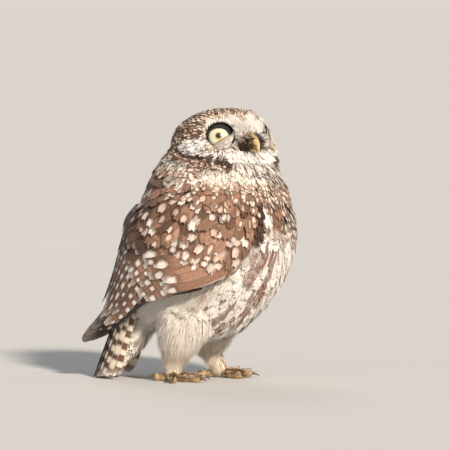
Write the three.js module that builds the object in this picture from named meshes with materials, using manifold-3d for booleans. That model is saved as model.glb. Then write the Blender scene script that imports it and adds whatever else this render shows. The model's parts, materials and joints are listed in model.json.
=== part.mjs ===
// A little owl, life size, standing at rest with its head turned to its right and tipped up.
// Millimetres, +Z up. The body faces -Y and its left side is +X. Feet and tail rest at Z = 0.
import * as THREE from "three";
import { mergeVertices } from "three/addons/utils/BufferGeometryUtils.js";
import Module from "manifold-3d";

const wasm = await Module();
wasm.setup();

// Clearance between neighbouring pieces, and the plate thickness of the built feathers
const GAP = 0.35;
const VANE = 0.6;

// Stations along the spine, from the wing tips to the top of the neck. forward and up place the centre,
// breast and back are the depths to each side of it, half is the half width, all to the feather outline.
const OUTLINE = [
  { forward: -82, up: 22, breast: 4, back: 4, half: 10 },
  { forward: -60, up: 37, breast: 12, back: 14.5, half: 21 },
  { forward: -38, up: 52, breast: 45, back: 33, half: 34 },
  { forward: -20, up: 68, breast: 58, back: 45, half: 43 },
  { forward: -7, up: 86, breast: 62, back: 48, half: 48 },
  { forward: 1, up: 104, breast: 60.5, back: 45.5, half: 47 },
  { forward: 6, up: 120, breast: 51, back: 43, half: 41 },
  { forward: 9, up: 134, breast: 41.5, back: 39.5, half: 36 },
  { forward: 11, up: 148, breast: 31, back: 31, half: 29 },
];

// The same depths for the body alone, which lies inside the folded wings
const TORSO = [
  { at: 1.35, breast: 5, back: 5, half: 6 },
  { at: 1.6, breast: 17, back: 12, half: 16 },
  { at: 2, breast: 34, back: 19, half: 24 },
  { at: 2.5, breast: 49, back: 27, half: 29.5 },
  { at: 3, breast: 57, back: 34.5, half: 34 },
  { at: 4, breast: 61, back: 43, half: 40 },
  { at: 5, breast: 59.5, back: 43, half: 41 },
  { at: 6, breast: 50, back: 42, half: 38 },
  { at: 7, breast: 40.5, back: 38.5, half: 34 },
  { at: 8, breast: 31, back: 31, half: 29 },
];
const TORSO_TOP = 5.8;

// The folded wing in angles round the body, 0 at the breast and 180 at the back, at each station
const WING_LOW = [50, 60, 71, 66, 48, 37, 38];
const WING_HIGH = [172, 176, 177, 173, 160, 141, 118];
const WING_SHOULDER = 6.15;
const WING_CORE_END = 2.3;

const HEAD = {
  forward: 9.5, up: 145, turn: 36, pitch: 15,
  front: 26, back: 28, half: 33, crown: 23.5, chin: 24, boxiness: 2.35,
};
const EYE = { radius: 8.4, iris: 6.3, forward: 15.6, side: 14.4, up: 1.4, diverge: 38, tip: 3 };
// Angles off the eye's axis: the lids' outer edge and opening, and how far the upper lid comes down, the
// lower lid comes up and both close in at the front; tilt turns the lower lid's highest point to the front
const LID = { thickness: 1.1, outer: 66, open: 47, droop: 14, raise: 21, front: 6, tilt: 15 };
const SOCKET = EYE.radius + GAP + LID.thickness + GAP;

const BILL_PATH = [
  { forward: 20, up: -3, high: 4.4, half: 4.2 },
  { forward: 26.5, up: -2.5, high: 4.1, half: 3.7 },
  { forward: 30.8, up: -4, high: 3.3, half: 2.9 },
  { forward: 33.6, up: -7.3, high: 2.2, half: 1.9 },
  { forward: 34.2, up: -11, high: 0.7, half: 0.6 },
];
const LOWER_BILL_PATH = [
  { forward: 20, up: -8.4, high: 2.6, half: 3.6 },
  { forward: 26.5, up: -7.9, high: 2.3, half: 2.9 },
  { forward: 30.4, up: -9, high: 1.6, half: 1.9 },
  { forward: 32, up: -10.5, high: 0.8, half: 0.9 },
];
const NOSTRIL = { forward: 27.6, up: -0.9, side: 3.4, radius: 0.85 };

const TAIL = {
  rootForward: -50, rootUp: 61, tipForward: -73.8, tipUp: -0.5,
  arch: 16.5, step: 4.4, pairs: 6, width: 11.4, shorter: 1.7,
};

// Each leg: where the foot stands, where the ankle and the hip are, all to the owl's own left when side is 1
const LEGS = {
  left: { side: 1, foot: [3, 18], ankle: [-6, 18, 17], hip: [-2, 21, 42], turn: 6 },
  right: { side: -1, foot: [-17, 18], ankle: [-16, 18, 17], hip: [-8, 21, 42], turn: 12 },
};
const TOES = [
  { name: "middle_toe", heading: 4, reach: 19, thick: 2.7 },
  { name: "inner_toe", heading: -33, reach: 17.5, thick: 2.6 },
  { name: "outer_toe", heading: 62, reach: 16.5, thick: 2.5 },
  { name: "hallux", heading: 174, reach: 12.5, thick: 2.4 },
];
const CLAW = { length: 8, thick: 1.35 };

const rad = THREE.MathUtils.degToRad;

// A point from distances forward, to the owl's left, and up
const place = (forward, left, up) => new THREE.Vector3(left, -forward, up);

// The value of a table's field between its rows, by a smooth cubic through them
function between(rows, position, field) {
  const last = rows.length - 1;
  const i = Math.min(Math.max(Math.floor(position), 0), last - 1);
  const t = position - i;
  const read = (k) => field(rows[Math.min(Math.max(k, 0), last)]);
  const [p0, p1, p2, p3] = [read(i - 1), read(i), read(i + 1), read(i + 2)];
  const m1 = (p2 - p0) / 2;
  const m2 = (p3 - p1) / 2;
  const t2 = t * t;
  const t3 = t2 * t;
  return (2 * t3 - 3 * t2 + 1) * p1 + (t3 - 2 * t2 + t) * m1 + (3 * t2 - 2 * t3) * p2 + (t3 - t2) * m2;
}

// Where a station value falls among the torso's rows, which aren't evenly spaced
function torsoRow(station) {
  const i = Math.max(0, TORSO.findIndex((row, k) => k > 0 && station <= row.at) - 1);
  return i + (station - TORSO[i].at) / (TORSO[i + 1].at - TORSO[i].at);
}

const outlineSizes = (s) => ({
  breast: between(OUTLINE, s, (r) => r.breast),
  back: between(OUTLINE, s, (r) => r.back),
  half: between(OUTLINE, s, (r) => r.half),
});
const torsoSizes = (s) => ({
  breast: between(TORSO, torsoRow(s), (r) => r.breast),
  back: between(TORSO, torsoRow(s), (r) => r.back),
  half: between(TORSO, torsoRow(s), (r) => r.half),
});

// A point at a station and an angle round the body, on the section given by sizes; grow moves it outwards
function aroundSpine(sizes, station, angle, side, grow = 0) {
  const forwardAt = (s) => between(OUTLINE, s, (r) => r.forward);
  const upAt = (s) => between(OUTLINE, s, (r) => r.up);
  const spine = (s) => new THREE.Vector2(forwardAt(s), upAt(s));
  const step = 0.05;
  const along = spine(station + step).sub(spine(station - step)).normalize();
  const centre = spine(station);
  const a = rad(angle);
  const { breast, back, half } = sizes(station);
  const deep = (Math.cos(a) > 0 ? breast : back) + grow;
  const forward = centre.x + along.y * deep * Math.cos(a);
  const up = centre.y - along.x * deep * Math.cos(a);
  return place(forward, side * (half + grow) * Math.sin(a), up);
}

// A closed surface through rings of equal count, its ends closed by a fan to their middle
function skin(rings) {
  const n = rings[0].length;
  const middle = (ring) => ring.reduce((sum, p) => sum.add(p), new THREE.Vector3()).divideScalar(n);
  const points = [...rings.flat(), middle(rings[0]), middle(rings.at(-1))];
  const faces = [];
  rings.slice(1).forEach((_, j) => {
    for (let i = 0; i < n; i++) {
      const [a, b] = [j * n + i, j * n + ((i + 1) % n)];
      faces.push(a, b, b + n, a, b + n, a + n);
    }
  });
  const top = (rings.length - 1) * n;
  for (let i = 0; i < n; i++) {
    faces.push(points.length - 2, (i + 1) % n, i);
    faces.push(points.length - 1, top + i, top + ((i + 1) % n));
  }
  return geometryOf(points, faces);
}

function geometryOf(points, faces) {
  const geometry = new THREE.BufferGeometry().setFromPoints(points);
  geometry.setIndex(faces);
  return geometry;
}

// A geometry as a solid, turned right side out where its faces point inwards
function solid(geometry) {
  geometry.deleteAttribute("normal").deleteAttribute("uv");
  const bare = mergeVertices(geometry, 1e-4);
  const vertProperties = new Float32Array(bare.attributes.position.array);
  const triVerts = new Uint32Array(bare.index.array);
  const made = new wasm.Manifold(new wasm.Mesh({ numProp: 3, vertProperties, triVerts }));
  if (made.volume() > 0) return made;
  for (let i = 0; i < triVerts.length; i += 3) {
    [triVerts[i], triVerts[i + 1]] = [triVerts[i + 1], triVerts[i]];
  }
  return new wasm.Manifold(new wasm.Mesh({ numProp: 3, vertProperties, triVerts }));
}

// The largest closed surface of a solid
const largest = (body) => body.decompose().reduce((a, b) => (b.volume() > a.volume() ? b : a));
const joined = (solids) => largest(wasm.Manifold.union(solids));

function meshOf(name, body, finish) {
  const { vertProperties, triVerts } = largest(body).getMesh();
  const geometry = new THREE.BufferGeometry();
  geometry.setAttribute("position", new THREE.BufferAttribute(new Float32Array(vertProperties), 3));
  geometry.setIndex(new THREE.BufferAttribute(triVerts, 1));
  const mesh = new THREE.Mesh(geometry.toNonIndexed(), FINISHES[finish]);
  mesh.geometry.computeVertexNormals();
  mesh.name = name;
  return mesh;
}

const finishOf = (color, roughness) => new THREE.MeshStandardMaterial({ color, roughness, metalness: 0 });
const FINISHES = {
  plumage: finishOf(0x8a715f, 0.9),
  pale: finishOf(0xe9dfd2, 0.9),
  bill: finishOf(0xc9b25e, 0.4),
  eye: finishOf(0xe6dc63, 0.1),
  lid: finishOf(0x2a2422, 0.6),
  toe: finishOf(0xa48a4c, 0.6),
  claw: finishOf(0x2e2824, 0.35),
};

// The torso: breast, belly, mantle and rump
function torsoSolid(grow = 0, top = TORSO_TOP) {
  const stations = [1.35, 1.43, 1.55, 1.75, 2, 2.3, 2.65, 3, 3.5, 4, 4.5, 5, 5.4, top];
  const around = 28;
  const ring = (s) => Array.from({ length: around }, (_, i) => {
    const angle = (i * 360) / around;
    return aroundSpine(torsoSizes, s, angle, 1, grow);
  });
  return solid(skin(stations.map(ring)));
}

// The neck: a collar whose top closes inside the head, fuller at the nape than at the throat
function neckSolid(grow = 0) {
  const around = 24;
  const nape = 0.35;
  const foot = grow > 0 ? -0.03 : 0.027;
  const levels = [
    [TORSO_TOP + foot, 0], [6.2, 0], [6.6, 0], [6.9, -0.8], [7.2, -3.2], [7.45, -9], [7.75, -18],
  ];
  const ring = ([s, shrink]) => Array.from({ length: around }, (_, i) => {
    const angle = (i * 360) / around;
    const drawnIn = shrink * mix(1, nape, smooth((1 - Math.cos(rad(angle))) / 2));
    return aroundSpine(torsoSizes, s, angle, 1, drawnIn + grow);
  });
  return solid(skin(levels.map(ring)));
}

// A soft bump, 1 in the middle and 0 past its reach, for a direction on the head
function bump(turn, lift, atTurn, atLift, wide, high) {
  const x = (turn - atTurn) / wide;
  const y = (lift - atLift) / high;
  const d = x * x + y * y;
  return d < 1 ? (1 - d) ** 2 : 0;
}

// The head's surface in its own frame: turn is degrees to the left of the bill, lift degrees above the level
function headPoint(turn, lift, grow = 0) {
  const [ct, st] = [Math.cos(rad(turn)), Math.sin(rad(turn))];
  const [cl, sl] = [Math.cos(rad(lift)), Math.sin(rad(lift))];
  const p = HEAD.boxiness;
  const deep = ct > 0 ? HEAD.front : HEAD.back;
  const tall = sl > 0 ? HEAD.crown : HEAD.chin;
  const parts = [(cl * ct) / deep, (cl * st) / HEAD.half, sl / tall];
  let r = parts.reduce((sum, v) => sum + Math.abs(v) ** p, 0) ** (-1 / p);
  const t = Math.abs(turn > 180 ? turn - 360 : turn);
  r += 2.6 * bump(t, lift, 26 + (lift - 30) * 0.5, 34, 20, 17); // brow ridge, rising outwards
  r -= 2.8 * bump(t, lift, 40, 4, 26, 24); // hollow round the eye
  r += 3.4 * bump(t, lift, 0, -8, 24, 30); // mound of bristles round the bill
  r += 2.2 * bump(t, lift, 62, -22, 24, 26); // lower rim of the facial disc
  r += 4.4 * bump(Math.max(0, t - 38), lift, 0, -33, 40, 21); // ruff of the throat
  r += 2.4 * bump(t, lift, 0, -48, 60, 26); // chin
  r += grow;
  return place(r * cl * ct, r * cl * st, r * sl);
}

// Finer round the face than behind
const HEAD_TURNS = [
  ...Array.from({ length: 21 }, (_, i) => -85 + i * 8.5), 103, 122, 141, 160, 180, 200, 219, 238, 257,
];
const HEAD_LIFTS = [-82, -66, -52, -40, -29, -19, -9, 1, 11, 20, 29, 38, 49, 63, 80];

function headSolid(grow = 0) {
  return solid(skin(HEAD_LIFTS.map((lift) => HEAD_TURNS.map((turn) => headPoint(turn, lift, grow)))));
}

// A tapering closed tube through stations of centre, half width and half height, in the frame of its own path
function limb(stations, around, grow = 0) {
  const centres = stations.map((s) => s.centre);
  const across = stations[0].across;
  const rings = stations.map((s, j) => {
    const next = centres[Math.min(j + 1, centres.length - 1)];
    const along = next.clone().sub(centres[Math.max(j - 1, 0)]).normalize();
    const side = across.clone().addScaledVector(along, -across.dot(along)).normalize();
    const rise = along.clone().cross(side);
    return Array.from({ length: around }, (_, i) => {
      const a = (i * 2 * Math.PI) / around;
      const wide = (s.half + grow) * Math.cos(a);
      const high = (s.high + grow) * Math.sin(a);
      return s.centre.clone().addScaledVector(side, wide).addScaledVector(rise, high);
    });
  });
  return solid(skin(rings));
}

function billSolid(path, grow = 0) {
  const across = place(0, 1, 0);
  const stations = path.map((p) => {
    return { centre: place(p.forward, 0, p.up), half: p.half, high: p.high, across };
  });
  return limb(stations, 14, grow);
}

// A ball round an eye's centre, or a smaller one for a nostril
const ball = (radius, centre, across, down) =>
  solid(new THREE.SphereGeometry(radius, across, down).translate(...centre.toArray()));

const eyeCentre = (side) => place(EYE.forward, side * EYE.side, EYE.up);
const eyeAxis = (side) => place(
  Math.cos(rad(EYE.diverge)) * Math.cos(rad(EYE.tip)),
  side * Math.sin(rad(EYE.diverge)) * Math.cos(rad(EYE.tip)),
  Math.sin(rad(EYE.tip)),
);

// The rim of lids round an eye: a ring on the eyeball, whose opening is flattened along the top and rises
// below towards the bill
function lidSolid(side) {
  const axis = eyeAxis(side);
  const right = place(0, 1, 0).addScaledVector(axis, -axis.dot(place(0, 1, 0))).normalize();
  const up = right.clone().cross(axis).normalize();
  if (up.z < 0) up.negate();
  const rings = [];
  const count = 24;
  for (let i = 0; i < count; i++) {
    const a = (i * 2 * Math.PI) / count;
    const lower = Math.max(0, Math.cos(a - rad(270 - side * LID.tilt)));
    const open = LID.open - LID.droop * Math.max(0, Math.sin(a)) ** 2 - LID.raise * lower ** 2
      - LID.front * Math.max(0, -side * Math.cos(a));
    const spot = (angle, r) => eyeCentre(side)
      .addScaledVector(axis, r * Math.cos(rad(angle)))
      .addScaledVector(right, r * Math.sin(rad(angle)) * Math.cos(a))
      .addScaledVector(up, r * Math.sin(rad(angle)) * Math.sin(a));
    const [inner, outer] = [EYE.radius + GAP, EYE.radius + GAP + LID.thickness];
    const middle = mix(open, LID.outer, 0.5);
    rings.push([spot(open, inner), spot(open + 1, outer), spot(middle, outer),
      spot(LID.outer, outer), spot(LID.outer, inner), spot(middle, inner)]);
  }
  return solid(hoop(rings));
}

// A closed surface through rings set round a loop, the last joined to the first
function hoop(rings) {
  const n = rings[0].length;
  const faces = [];
  rings.forEach((_, j) => {
    const next = ((j + 1) % rings.length) * n;
    for (let i = 0; i < n; i++) {
      const [a, b, c, d] = [j * n + i, j * n + ((i + 1) % n), next + ((i + 1) % n), next + i];
      faces.push(a, b, c, a, c, d);
    }
  });
  return geometryOf(rings.flat(), faces);
}

// A feather as a thin plate over a grid of points, each with its way out
function plate(rows) {
  const height = rows.length;
  const width = rows[0].length;
  const points = [];
  for (const face of [0.5, -0.5]) {
    for (const spot of rows.flat()) points.push(spot.point.clone().addScaledVector(spot.out, face * VANE));
  }
  const at = (side, row, column) => (side * height + row) * width + column;
  const faces = [];
  const quad = (a, b, c, d) => faces.push(a, b, c, a, c, d);
  for (let j = 0; j < height - 1; j++) {
    for (let c = 0; c < width - 1; c++) {
      quad(at(0, j, c), at(0, j, c + 1), at(0, j + 1, c + 1), at(0, j + 1, c));
      faces.push(at(1, j, c), at(1, j + 1, c + 1), at(1, j, c + 1));
      faces.push(at(1, j, c), at(1, j + 1, c), at(1, j + 1, c + 1));
    }
    const last = width - 1;
    quad(at(0, j, 0), at(0, j + 1, 0), at(1, j + 1, 0), at(1, j, 0));
    quad(at(1, j, last), at(1, j + 1, last), at(0, j + 1, last), at(0, j, last));
  }
  const end = height - 1;
  for (let c = 0; c < width - 1; c++) {
    quad(at(0, 0, c + 1), at(0, 0, c), at(1, 0, c), at(1, 0, c + 1));
    quad(at(0, end, c), at(0, end, c + 1), at(1, end, c + 1), at(1, end, c));
  }
  return solid(geometryOf(points, faces));
}

const mix = (a, b, t) => a + (b - a) * t;
const smooth = (t) => t * t * (3 - 2 * t);

// How far a feather reaches to each side along its length, against its widest
const BLADE = [0.55, 0.88, 1, 1, 0.86, 0.4];
const COVERT_BLADE = [0.7, 1, 0.95, 0.4];
const LAYER = VANE + GAP;
const RIDGE = 0.12;

const wingLow = (s) => between(WING_LOW, s, (v) => v);
const wingHigh = (s) => between(WING_HIGH, s, (v) => v);

// A point over the wing: share 0 is its lower edge and 1 its upper edge; lift is height over the outline
function wingPoint(side, station, share, lift) {
  const angle = mix(wingLow(station), wingHigh(station), share);
  return aroundSpine(outlineSizes, station, angle, side, lift);
}

// The ways along, towards the back and out of the wing at a point, and the length of one unit of share there
function wingFrame(side, station, share, lift) {
  const step = 0.03;
  const at = (alongBy, roundBy) => wingPoint(side, station + alongBy, share + roundBy, lift);
  const point = at(0, 0);
  const along = at(-step, 0).sub(at(step, 0));
  const round = at(0, step).sub(at(0, -step));
  const span = round.length() / (2 * step);
  const out = along.normalize().clone().cross(round).normalize().multiplyScalar(side);
  const backward = round.addScaledVector(along, -round.dot(along)).normalize();
  return { point, along, out, backward, span };
}

// The body of the wing, which fills the space between the torso and the feathers
const CORE_LIFTS = [-8, -7, -5.2, -3, -1.8, -1.3, -1, -1];
const CORE_FLOORS = [3, 3, 2.6, 1.8, 1.1, 0.9, 0.8, 0.8];

function wingCore(side) {
  const along = 9;
  const across = 7;
  const rings = [];
  for (let j = 0; j <= along; j++) {
    const u = j / along;
    const station = mix(WING_CORE_END, WING_SHOULDER, u);
    const end = Math.sqrt(Math.max(0, 1 - Math.max(0, (u - 0.72) / 0.3) ** 2));
    const lift = between(CORE_LIFTS, station, (v) => v);
    const outer = [];
    const inner = [];
    for (let i = 0; i <= across; i++) {
      const v = i / across;
      const share = mix(mix(0.3, 0.03, end), mix(0.75, 0.985, end), v);
      const edge = Math.sqrt(Math.max(0, 1 - (2 * v - 1) ** 8));
      const angle = mix(wingLow(station), wingHigh(station), share);
      const clear = GAP + between(CORE_FLOORS, station, (v) => v);
      const floor = aroundSpine(torsoSizes, station, angle, side, clear);
      const roof = wingPoint(side, station, share, lift);
      const frame = wingFrame(side, station, share, lift);
      const thick = Math.max(0.5, roof.clone().sub(floor).dot(frame.out));
      inner.push(floor);
      outer.push(floor.clone().addScaledVector(frame.out, mix(0.5, thick, edge * mix(0.6, 1, end))));
    }
    rings.push([...outer, ...inner.reverse()]);
  }
  return solid(skin(rings));
}

// The tiers of feathers that follow the curve of the wing, from the flights up to the shoulder. low and
// high bound the strip they fill, root and tip are stations at its two edges, lift is their height at both.
const SECONDARIES = {
  count: 8, low: 0.22, high: 1, root: [3.5, 3.4], tip: [1.1, 1.3], wide: 0.8, lift: [-2.6, -1.3],
};
const GREATER_COVERTS = {
  count: 7, low: 0.03, high: 0.97, root: [4, 3.8], tip: [2.5, 2.3], wide: 0.62, lift: [-2.2, 0.3],
};
const MEDIAN_COVERTS = {
  count: 6, low: 0.03, high: 0.97, root: [5, 4.7], tip: [3.5, 3.25], wide: 0.62, lift: [-1.9, 0.6],
};
const TIERS = [SECONDARIES, GREATER_COVERTS, MEDIAN_COVERTS];

function tierFeather(side, tier, k) {
  const u = (k + 0.5) / tier.count;
  const [root, tip] = [mix(...tier.root, u), mix(...tier.tip, u)];
  const share = mix(tier.low, tier.high, u);
  const blade = tier === SECONDARIES ? BLADE : COVERT_BLADE;
  const rows = blade.map((breadth, j) => {
    const t = j / (blade.length - 1);
    const station = mix(root, tip, t);
    const lift = mix(...tier.lift, smooth(t));
    const { span } = wingFrame(side, station, share, lift);
    const spacing = (span * (tier.high - tier.low)) / tier.count;
    const half = Math.max(spacing, 3) * tier.wide * breadth;
    const slope = Math.min(LAYER / spacing, 0.24);
    const stack = (tier.count - 1 - k) * Math.max(0, LAYER - spacing * slope);
    return [-1, 0, 1].map((c) => {
      const x = c * half;
      const ridge = c === 0 ? 2 * RIDGE : 0;
      const spot = wingFrame(side, station, share + x / span, lift - x * slope - stack + ridge);
      return { point: spot.point, out: spot.out };
    });
  });
  return plate(rows);
}

// The primaries lie in one flat bundle along the lower edge, the lowest feather innermost. All follow the
// same stations up to the last two, which differ with the length of each.
const PRIMARIES = {
  shares: [0.12, 0.34], lifts: [-4.4, -3.6], slopes: [0.2, 0.1], fans: [2.2, 0.8], low: 3.8, high: 4.8,
  stations: [3.1, 2.45, 1.8, 1.2], tips: [0.56, 0.3, 0.13, 0.11, 0.24, 0.48, 0.78],
};

function primary(side, k) {
  const last = PRIMARIES.tips.length - 1;
  const common = PRIMARIES.stations;
  const stations = [...common, mix(common.at(-1), PRIMARIES.tips[k], 0.65), PRIMARIES.tips[k]];
  const rows = BLADE.map((breadth, j) => {
    const t = smooth(Math.min(1, (common[0] - stations[j]) / common[0]));
    const frame = wingFrame(side, stations[j], mix(...PRIMARIES.shares, t), mix(...PRIMARIES.lifts, t));
    const fan = mix(...PRIMARIES.fans, t);
    const slope = mix(...PRIMARIES.slopes, t);
    const across = frame.backward.clone().addScaledVector(frame.out, -slope).normalize();
    const sink = (last - k) * Math.max(0.3, LAYER - fan * slope);
    return [-1, 0, 1].map((c) => {
      const x = (k - last / 2) * fan + (c < 0 ? -PRIMARIES.low : c * PRIMARIES.high) * breadth;
      const point = frame.point.clone().addScaledVector(across, x)
        .addScaledVector(frame.out, -sink + (k - last / 2) * fan * slope + (c === 0 ? RIDGE : 0));
      return { point, out: frame.out };
    });
  });
  return plate(rows);
}

function wingSolid(side) {
  const feathers = PRIMARIES.tips.map((_, k) => primary(side, k));
  for (const tier of TIERS) {
    for (let k = 0; k < tier.count; k++) feathers.push(tierFeather(side, tier, k));
  }
  return joined([wingCore(side), ...feathers]);
}

// The tail: six pairs of feathers set on an arch, the middle pair on top, with a core of coverts at the root
const tailRoot = place(TAIL.rootForward, 0, TAIL.rootUp);
const tailTip = place(TAIL.tipForward, 0, TAIL.tipUp);
const tailAlong = tailTip.clone().sub(tailRoot).normalize();
const tailLength = tailRoot.distanceTo(tailTip);
const tailDorsal = new THREE.Vector3(0, tailAlong.z * -1, tailAlong.y).normalize();

// A point on the tail's arch: arc is millimetres round it to one side, lift the height over it
function tailSpot(side, arc, distance, lift) {
  const angle = arc / TAIL.arch;
  const radial = place(0, side * Math.sin(angle), 0).addScaledVector(tailDorsal, Math.cos(angle));
  const point = tailRoot.clone().addScaledVector(tailAlong, distance)
    .addScaledVector(tailDorsal, -TAIL.arch).addScaledVector(radial, TAIL.arch + lift);
  return { point, out: radial };
}

const TAIL_ROWS = [8, 21, 34, 46];

function tailFeather(side, k) {
  const length = tailLength - k * TAIL.shorter - (side < 0 && k === 0 ? 0.4 : 0);
  const distances = [...TAIL_ROWS, mix(TAIL_ROWS.at(-1), length, 0.7), length];
  const rows = BLADE.map((breadth, j) => {
    const spacing = TAIL.step * mix(0.75, 1, distances[j] / tailLength);
    const arc = (k + 0.5) * spacing;
    const slope = 0.14;
    const layer = LAYER + 0.2 - spacing * slope;
    const stack = side > 0 ? k * layer : (k + 1) * layer + spacing * slope;
    const half = (TAIL.width / 2) * Math.max(breadth, 0.6);
    const first = side > 0 && k === 0;
    const inner = Math.min(half, first ? arc + 1.2 : arc - 0.25);
    const lift = (x) => (first && x < 0 ? 0 : x * slope) - stack + (x ? 0 : RIDGE);
    return [-inner, 0, half].map((x) => tailSpot(side, arc + x, distances[j], lift(x)));
  });
  return plate(rows);
}

function tailSolid() {
  const half = (side) => Array.from({ length: TAIL.pairs }, (_, k) => tailFeather(side, k));
  const feathers = [...half(1), ...half(-1)];
  const across = place(0, 1, 0);
  const core = [
    { along: 4, half: 12, high: 15, sink: 12 },
    { along: 12, half: 12.5, high: 14.5, sink: 13.5 },
    { along: 23, half: 11.8, high: 11.8, sink: 16.3 },
    { along: 37, half: 11.2, high: 10, sink: 15.2 },
    { along: 49, half: 9.5, high: 6.2, sink: 13.4 },
    { along: 54, half: 5, high: 2.5, sink: 12.5 },
  ].map((s) => ({
    centre: tailRoot.clone().addScaledVector(tailAlong, s.along).addScaledVector(tailDorsal, -s.sink),
    half: s.half, high: s.high, across,
  }));
  return joined([limb(core, 16), ...feathers]).trimByPlane([0, 0, 1], 0);
}

// A leg's feathered thigh and shank, as the centre line and sizes of one limb
function thighSolid(leg, grow = 0) {
  const across = place(0, 1, 0);
  const [hip, ankle] = [leg.hip, leg.ankle].map(([f, s, u]) => place(f, leg.side * s, u));
  const stations = [
    { t: -0.1, half: 13, high: 15 },
    { t: 0.25, half: 14, high: 17 },
    { t: 0.55, half: 12.5, high: 14.5 },
    { t: 0.85, half: 9.5, high: 10.5 },
    { t: 1.1, half: 6, high: 6.5 },
  ].map((s) => ({ centre: hip.clone().lerp(ankle, s.t), half: s.half, high: s.high, across }));
  return limb(stations, 16, grow);
}

function shankSolid(leg, grow = 0) {
  const across = place(0, 1, 0);
  const ankle = place(leg.ankle[0], leg.side * leg.ankle[1], leg.ankle[2] + 4);
  const foot = place(leg.foot[0], leg.side * leg.foot[1], 5);
  const stations = [
    { t: 0, half: 4.8, high: 5 },
    { t: 0.45, half: 4.4, high: 4.6 },
    { t: 0.8, half: 5.2, high: 5.2 },
    { t: 1, half: 5.6, high: 5.2 },
    { t: 1.12, half: 4, high: 3.2 },
  ].map((s) => ({ centre: ankle.clone().lerp(foot, s.t), half: s.half, high: s.high, across }));
  return limb(stations, 14, grow).trimByPlane([0, 0, 1], grow > 0 ? -1 : 0);
}

// Where a toe points, as a unit vector on the floor
function toeWay(leg, toe) {
  const heading = rad(-leg.side * toe.heading + leg.side * leg.turn * -1);
  return place(Math.cos(heading), -Math.sin(heading), 0);
}

const toeStart = (leg) => place(leg.foot[0], leg.side * leg.foot[1], 0);

function toeSolid(leg, toe, grow = 0) {
  const way = toeWay(leg, toe);
  const across = new THREE.Vector3(-way.y, way.x, 0);
  const profile = [
    { t: 0.15, r: 0.85, up: 3.2 },
    { t: 0.36, r: 0.86, up: 2.4 },
    { t: 0.54, r: 1.1, up: 2.4 },
    { t: 0.7, r: 0.86, up: 2.1 },
    { t: 0.86, r: 1.06, up: 2.3 },
    { t: 1, r: 0.66, up: 2.3 },
  ];
  const stations = profile.map((s) => ({
    centre: toeStart(leg).addScaledVector(way, s.t * toe.reach).setZ(s.up),
    half: s.r * toe.thick, high: s.r * toe.thick, across,
  }));
  return limb(stations, 8, grow).trimByPlane([0, 0, 1], grow > 0 ? -1 : 0);
}

// A claw: a tapering arc from the end of a toe down to the floor
function clawSolid(leg, toe) {
  const way = toeWay(leg, toe);
  const across = new THREE.Vector3(-way.y, way.x, 0);
  const root = toeStart(leg).addScaledVector(way, toe.reach - 1.2).setZ(2.6);
  const bend = 62;
  const radius = CLAW.length / rad(bend + 12);
  const stations = [0, 0.35, 0.7, 1].map((t) => {
    const a = rad(mix(-12, bend, t));
    const centre = root.clone().addScaledVector(way, radius * (Math.sin(a) - Math.sin(rad(-12))));
    centre.z -= radius * (Math.cos(rad(-12)) - Math.cos(a)) * 0.62 - 0.4 * (1 - t);
    const r = CLAW.thick * mix(1, 0.16, t ** 1.2);
    centre.z = Math.max(centre.z, r + 0.1);
    return { centre, half: r, high: r, across };
  });
  return limb(stations, 7);
}

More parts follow.
